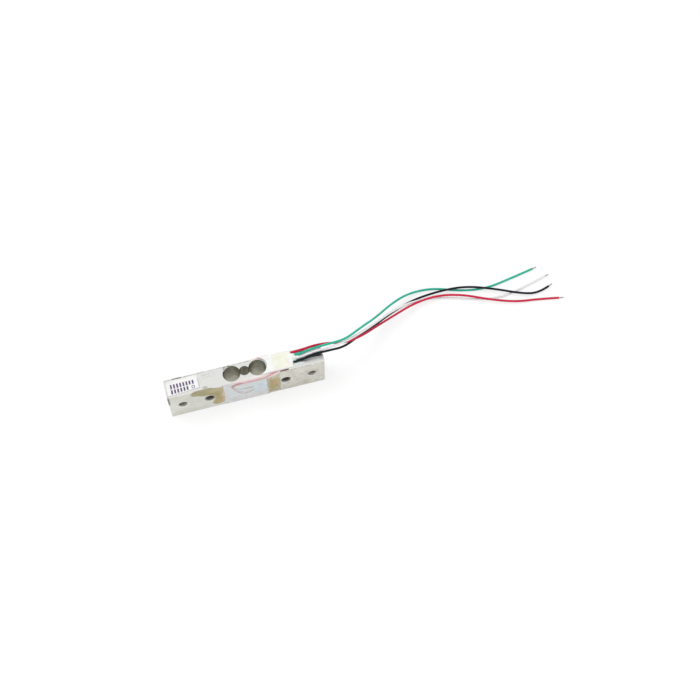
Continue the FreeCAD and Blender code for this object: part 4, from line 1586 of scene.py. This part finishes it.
# ------------------------------------------------------------------ terminal end
@dataclass
class TerminalEnd:
    """The terminal board under its silicone, and the tape pressed on top."""

    voxel: float = 0.13
    lump: float = 0.16
    # How far a thin white skirt of silicone reaches over the metal past the sealant: a painted highlight,
    # made of silicone.
    highlight_skirt: float = 2.4
    rim_radius: float = 2.86
    bore_x: float = 3.85
    lead_rows: tuple[float, ...] = (-1.3, -0.2, 0.9, 2.0)
    collar_x: tuple[float, ...] = (14.2, 14.0, 15.2, 13.9)
    collar_radius: float = 0.62
    smear_x: dict[Face, tuple[float, float]] = field(
        default_factory=lambda: {Face.FRONT: (-4.4, 9.2), Face.REAR: (1.2, 9.2)}
    )
    wire_glow: float = 0.21
    blush: float = 0.62
    blush_reach: float = 2.4
    clear_of_bore: float = 2.72
    low: Vector = field(init=False)
    high: Vector = field(init=False)

    def build(self, finishes: dict[str, bpy.types.Material]) -> None:
        """Make the silicone, its smear and the tape, and dress what lies under them.

        Args:
            finishes: The materials, by name.
        """
        dress("terminal_board", Laminate().make())
        dress("terminal_pads", CopperPad().make())
        dress("enamel_wire_joints", finishes["solder"])
        for colour in ("black", "white", "green", "red"):
            dress(f"{colour}_lead_joint", finishes["solder"])
        silicone = Silicone().make()
        self.low, self.high = corners("sealant")
        bed = self.bed()
        self.tape(bed, PressedTape().make())
        deliver(bed, [silicone], ("sealant",))
        for face in Face:
            self.smear(face, silicone)

    def bed(self) -> bpy.types.Object:
        """The bed of silicone, hugging the bore's rim and swelling round each lead.

        Returns:
            The bed, still in millimetres.
        """
        low, high = self.low, self.high
        inner, under, reach = high.x - 1.0, low.z - 0.3, high.x + self.highlight_skirt
        lumps = [
            block("silicone_bed", (low.x, low.y, under), (high.x - 0.3, high.y, high.z - 0.12)),
            # The skirt: a thin white sheet over the metal past the sealant's end, standing in for the metal's
            # highlight.
            block("highlight_skirt", (inner, low.y + 0.5, under), (reach, high.y - 0.8, low.z + 0.16)),
            # Partly a bead of sealant between the leads, partly a painted highlight: white silicone raised
            # into the gap that the leads shade.
            block("lit_gap_bead", (inner, -1.0, under), (high.x + 1.5, 0.7, low.z + 0.55)),
        ]
        for row, x in zip(self.lead_rows, self.collar_x):
            start, end = (high.x - 2.0, row, high.z - 0.55), (x, row, high.z - 0.5)
            lumps.append(rod("collar", self.collar_radius, start, end, 24))
        bed = joined("silicone_bed", lumps)
        modify(bed, "REMESH", mode="VOXEL", voxel_size=self.voxel)
        modify(bed, "SMOOTH", factor=0.6, iterations=9)
        for vertex in bed.data.vertices:
            spot = vertex.co.copy()
            swell = self.lump * ripple(spot, 1.7, 1.0) + 0.4 * self.lump * ripple(spot, 0.7, 4.0)
            if spot.x > high.x:
                swell *= 0.2
                vertex.co.x += 2.2 * ripple(Vector((0, spot.y, 0)), 1.0, 8.0) * (spot.x - high.x) / self.highlight_skirt
            if spot.z > low.z:
                vertex.co.z += swell
            vertex.co.y += 0.6 * swell * (1 if spot.y > 0 else -1)
            vertex.co.x += 1.6 * self.lump * ripple(spot, 1.3, 7.0) * (spot.x > 12)
        cut(bed, rod("rim", self.rim_radius, (self.bore_x, 0, low.z - 2), (self.bore_x, 0, high.z + 2), 96))
        cut(bed, block("under", (low.x - 2, low.y - 2, low.z - 3), (high.x + 6, high.y + 2, low.z + 0.003)))
        modify(bed, "REMESH", mode="VOXEL", voxel_size=self.voxel * 0.8)
        modify(bed, "SMOOTH", factor=0.5, iterations=3)
        return bed

    def smear(self, face: Face, finish: bpy.types.Material) -> None:
        """The smear of silicone round a face's top edge, up to the backs of the enamelled wires.

        Args:
            face: The measuring face.
            finish: The silicone's material.
        """
        side, top = face.value, self.low.z
        start, end = self.smear_x[face]
        name = f"{face.name.lower()}_silicone_smear"
        over = self.slab(name, start, end, 2.3 * side, 3.2 * side, top - 0.3, top + 0.14)
        down = self.slab(name, start, end, 2.9 * side, 3.32 * side, 10.35, top + 0.02)
        bead = joined(name, [over, down])
        modify(bead, "REMESH", mode="VOXEL", voxel_size=0.08)
        for vertex in bead.data.vertices:
            spot = vertex.co.copy()
            share, out = (spot.x - start) / (end - start), spot.y * side
            taper = held((spot.x - start) / 3.5) * held((end - spot.x) / 1.5)
            ragged = 0.25 * ripple(Vector((spot.x, side, 0)), 1.1, 2.0)
            if spot.z > top:
                vertex.co.z = top + (spot.z - top) * taper
            if out < 2.7:
                out = 3.0 - (3.0 - out) * (0.2 + 0.9 * share) - ragged
                if abs(spot.x - self.bore_x) < self.rim_radius:
                    out = max(out, self.clear_of_bore)
            elif out > 3.05:
                out = 3.02 + (out - 3.02) * (0.3 + 0.7 * taper) * (0.9 + 0.12 * ripple(spot, 0.8, 5.0))
            vertex.co.y = out * side
            if spot.z < 11.0:
                vertex.co.z = 10.9 + (spot.z - 10.9) * (0.2 + 0.8 * taper) + ragged
        modify(bead, "SMOOTH", factor=0.5, iterations=5)
        self.show_wires(bead, face)
        deliver(bead, [finish])

    def slab(
        self, name: str, start: float, end: float, inner: float, outer: float, foot: float, head: float
    ) -> bpy.types.Object:
        """A block between two depths on either side of the beam, in millimetres."""
        return block(name, (start, min(inner, outer), foot), (end, max(inner, outer), head))

    def show_wires(self, bead: bpy.types.Object, face: Face) -> None:
        """Note on each point of a bead how near a face's enamelled wires run.

        Args:
            bead: The bead, in millimetres.
            face: The measuring face.
        """
        points, faces = [], []
        for number in WIRES:
            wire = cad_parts[f"{face.name.lower()}_enamelled_wire_{number}"]
            first = len(points)
            points += [vertex.co / MM for vertex in wire.data.vertices]
            faces += [[first + index for index in polygon.vertices] for polygon in wire.data.polygons]
        wires = BVHTree.FromPolygons(points, faces)
        near = bead.data.attributes.new("near_wire", "FLOAT", "POINT")
        for index, vertex in enumerate(bead.data.vertices):
            far = wires.find_nearest(vertex.co)[3]
            core, blush = 1.0 - (far - 0.04) / self.wire_glow, self.blush * (1.0 - far / self.blush_reach)
            near.data[index].value = held(max(core, blush))

    def tape(self, bed: bpy.types.Object, finish: bpy.types.Material) -> None:
        """The strip of tape, pressed to the silicone's lumps.

        Args:
            bed: The silicone under it, in millimetres.
            finish: The tape's material.
        """
        low, high = corners("sealant_tape")
        middle = (low + high) / 2
        bpy.ops.mesh.primitive_grid_add(
            x_subdivisions=44, y_subdivisions=52, size=1, location=(middle.x, middle.y, high.z + 1.0)
        )
        bpy.context.object.scale = (high.x - low.x, high.y - low.y, 1)
        strip = named("cream_tape")
        modify(
            strip, "SHRINKWRAP", target=bed, wrap_method="PROJECT", use_project_z=True,
            use_negative_direction=True, use_positive_direction=False, offset=0.0,
        )
        modify(strip, "SMOOTH", factor=0.5, iterations=6)
        for vertex in strip.data.vertices:
            vertex.co.z += 0.03
        modify(strip, "SOLIDIFY", thickness=0.1, offset=0.0)
        deliver(strip, [finish], ("sealant_tape",))


# ------------------------------------------------------------------ label
@dataclass
class Label:
    """The paper label with two rows of plain printed bars and a ring."""

    left_low: tuple[float, float] = (-23.22, -2.65)
    right_low: tuple[float, float] = (-13.65, -1.98)
    right_high: tuple[float, float] = (-13.7, 2.3)
    left_high: tuple[float, float] = (-23.15, 2.66)
    width: float = 9.4
    height: float = 5.0
    thickness: float = 0.08
    corner_lift: float = 0.05
    columns: int = 60
    rows: int = 34
    print_start: float = 0.135
    bar_width: float = 0.052
    bar_gap: float = 0.044
    bar_rows: dict[tuple[float, float], int] = field(
        default_factory=lambda: {(0.41, 0.69): 8, (0.08, 0.35): 6}
    )
    ring_place: tuple[float, float] = (0.818, 0.2)
    ring_radius: float = 0.42
    ring_line: float = 0.24
    ink_height: float = 0.014
    top: float = field(init=False)

    def build(self) -> None:
        """Make the paper and its print."""
        self.top = corners("label")[0].z
        self.paper()
        self.print_rows()

    def place(self, across: float, up: float) -> Vector:
        """The point at a share across and up the label, on its upper side."""
        lower = Vector(self.left_low).lerp(Vector(self.right_low), across)
        upper = Vector(self.left_high).lerp(Vector(self.right_high), across)
        spot = lower.lerp(upper, up)
        lift = self.corner_lift * max(0.0, across + up - 1.72) / 0.28
        return Vector((spot.x, spot.y, self.top + self.thickness + lift * lift / self.corner_lift))

    def paper(self) -> None:
        """The sheet itself, one corner a little lifted."""
        bpy.ops.mesh.primitive_grid_add(x_subdivisions=self.columns, y_subdivisions=self.rows, size=1)
        sheet = named("label_sheet")
        rim = sheet.data.attributes.new("rim", "FLOAT", "POINT")
        for index, vertex in enumerate(sheet.data.vertices):
            across, up = vertex.co.x + 0.5, vertex.co.y + 0.5
            rim.data[index].value = min(min(across, 1 - across) * self.width, min(up, 1 - up) * self.height)
            vertex.co = self.place(across, up) - Vector((0, 0, self.thickness))
        modify(sheet, "SOLIDIFY", thickness=self.thickness, offset=1.0)
        bevel_edges(sheet, 2, 0.12, 3)
        deliver(sheet, [LabelPaper().make()], ("label",))

    def print_rows(self) -> None:
        """Two rows of plain upright bars, and a ring after the second row."""
        ink, grey = PrintedInk().make(), PrintedInk("grey_ink", (0.20, 0.22, 0.30), (0.36, 0.38, 0.45)).make()
        bars = [
            self.bar(self.print_start + number * (self.bar_width + self.bar_gap), self.bar_width, low, high)
            for (low, high), count in self.bar_rows.items()
            for number in range(count)
        ]
        deliver(joined("label_bars", bars), [ink])
        middle = self.place(*self.ring_place)
        bpy.ops.mesh.primitive_torus_add(
            major_radius=self.ring_radius, minor_radius=self.ring_line / 2,
            major_segments=40, minor_segments=8, location=middle + Vector((0, 0, self.ink_height / 2)),
        )
        ring = bpy.context.object
        ring.scale = (1, 1, self.ink_height / self.ring_line)
        named("label_ring")
        deliver(ring, [grey])

    def bar(self, across: float, width: float, low: float, high: float) -> bpy.types.Object:
        """One printed bar with rounded corners, following the label's slant.

        Args:
            across: The share across the label where it starts.
            width: Its width as a share of the label's.
            low: The share up the label of its foot.
            high: The share up the label of its head.

        Returns:
            The bar.
        """
        bar = block("bar", (0, 0, 0), (1, 1, 1))
        bevel_edges(bar, 2, 0.18, 3)
        for vertex in bar.data.vertices:
            spot = self.place(across + width * vertex.co.x, low + (high - low) * vertex.co.y)
            vertex.co = spot + Vector((0, 0, self.ink_height * vertex.co.z - 0.002))
        return bar


# ------------------------------------------------------------------ adhesive
@dataclass
class AdhesiveSkin:
    """The adhesive that dried on the front face beside the film, thin at its rim."""

    side: Side
    cell: float = 0.22
    dome: float = 0.05
    rim_thickness: float = 0.012
    rim_width: float = 0.5

    def build(self, finish: bpy.types.Material) -> None:
        """Divide the node's flat skin finely, dome it and note how far each point is from the rim.

        Args:
            finish: The adhesive's material.
        """
        node = f"front_adhesive_{self.side.name.lower()}"
        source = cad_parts[node]
        skin = linked(f"adhesive_skin_{self.side.name.lower()}", source.data.copy())
        skin.data.transform(Matrix.Scale(1 / MM, 4))
        tidy_mesh(skin)
        low, high = corners(node)
        self.divide(skin, low, high)
        tree = self.rim_tree(skin, low)
        rim = skin.data.attributes.new("rim", "FLOAT", "POINT")
        for index, vertex in enumerate(skin.data.vertices):
            far = tree.find(Vector((vertex.co.x, low.y, vertex.co.z)))[2]
            rim.data[index].value = far
            if vertex.co.y < (low.y + high.y) / 2:
                bumps = 0.6 + 0.4 * ripple(vertex.co, 1.1, 9.0)
                full = high.y - low.y - self.rim_thickness + self.dome * bumps
                vertex.co.y = high.y - self.rim_thickness - full * held(far / self.rim_width)
        deliver(skin, [finish], (node,))

    def divide(self, skin: bpy.types.Object, low: Vector, high: Vector) -> None:
        """Score the skin along a grid of planes, so that it has points to shape.

        Args:
            skin: The skin.
            low: Its lowest corner.
            high: Its highest corner.
        """
        choose(skin)
        bpy.ops.object.mode_set(mode="EDIT")
        for axis in (0, 2):
            normal = Vector((0, 0, 0))
            normal[axis] = 1
            spot = low.copy()
            while spot[axis] + self.cell < high[axis]:
                spot[axis] += self.cell
                bpy.ops.mesh.select_all(action="SELECT")
                bpy.ops.mesh.bisect(plane_co=spot, plane_no=normal)
        bpy.ops.object.mode_set(mode="OBJECT")

    def rim_tree(self, skin: bpy.types.Object, low: Vector) -> KDTree:
        """A search tree of the points on the skin's rim, seen from the front.

        Args:
            skin: The skin.
            low: Its lowest corner.

        Returns:
            The tree.
        """
        side_points = {
            index
            for polygon in skin.data.polygons
            if abs(polygon.normal.y) < 0.5
            for index in polygon.vertices
        }
        tree = KDTree(len(side_points))
        for index in side_points:
            spot = skin.data.vertices[index].co
            tree.insert(Vector((spot.x, low.y, spot.z)), index)
        tree.balance()
        return tree


def main() -> None:
    """Build the load cell's looks."""
    Studio().build()
    Leads().build()
    Beam().build()
    finishes = {
        "carrier": CarrierFilm().make(),
        "foil": EtchedFoil().make(),
        "tin": SolderMetal("tinned_link").make(),
        "enamel": RedEnamel().make(),
        "film": ClearFilm().make(),
        "solder": SolderMetal().make(),
    }
    for face in Face:
        GaugeFace(face).build(finishes)
    TerminalEnd().build(finishes)
    Label().build()
    adhesive = DriedAdhesive().make()
    for side in Side:
        AdhesiveSkin(side).build(adhesive)


if __name__ == "__main__":
    main()
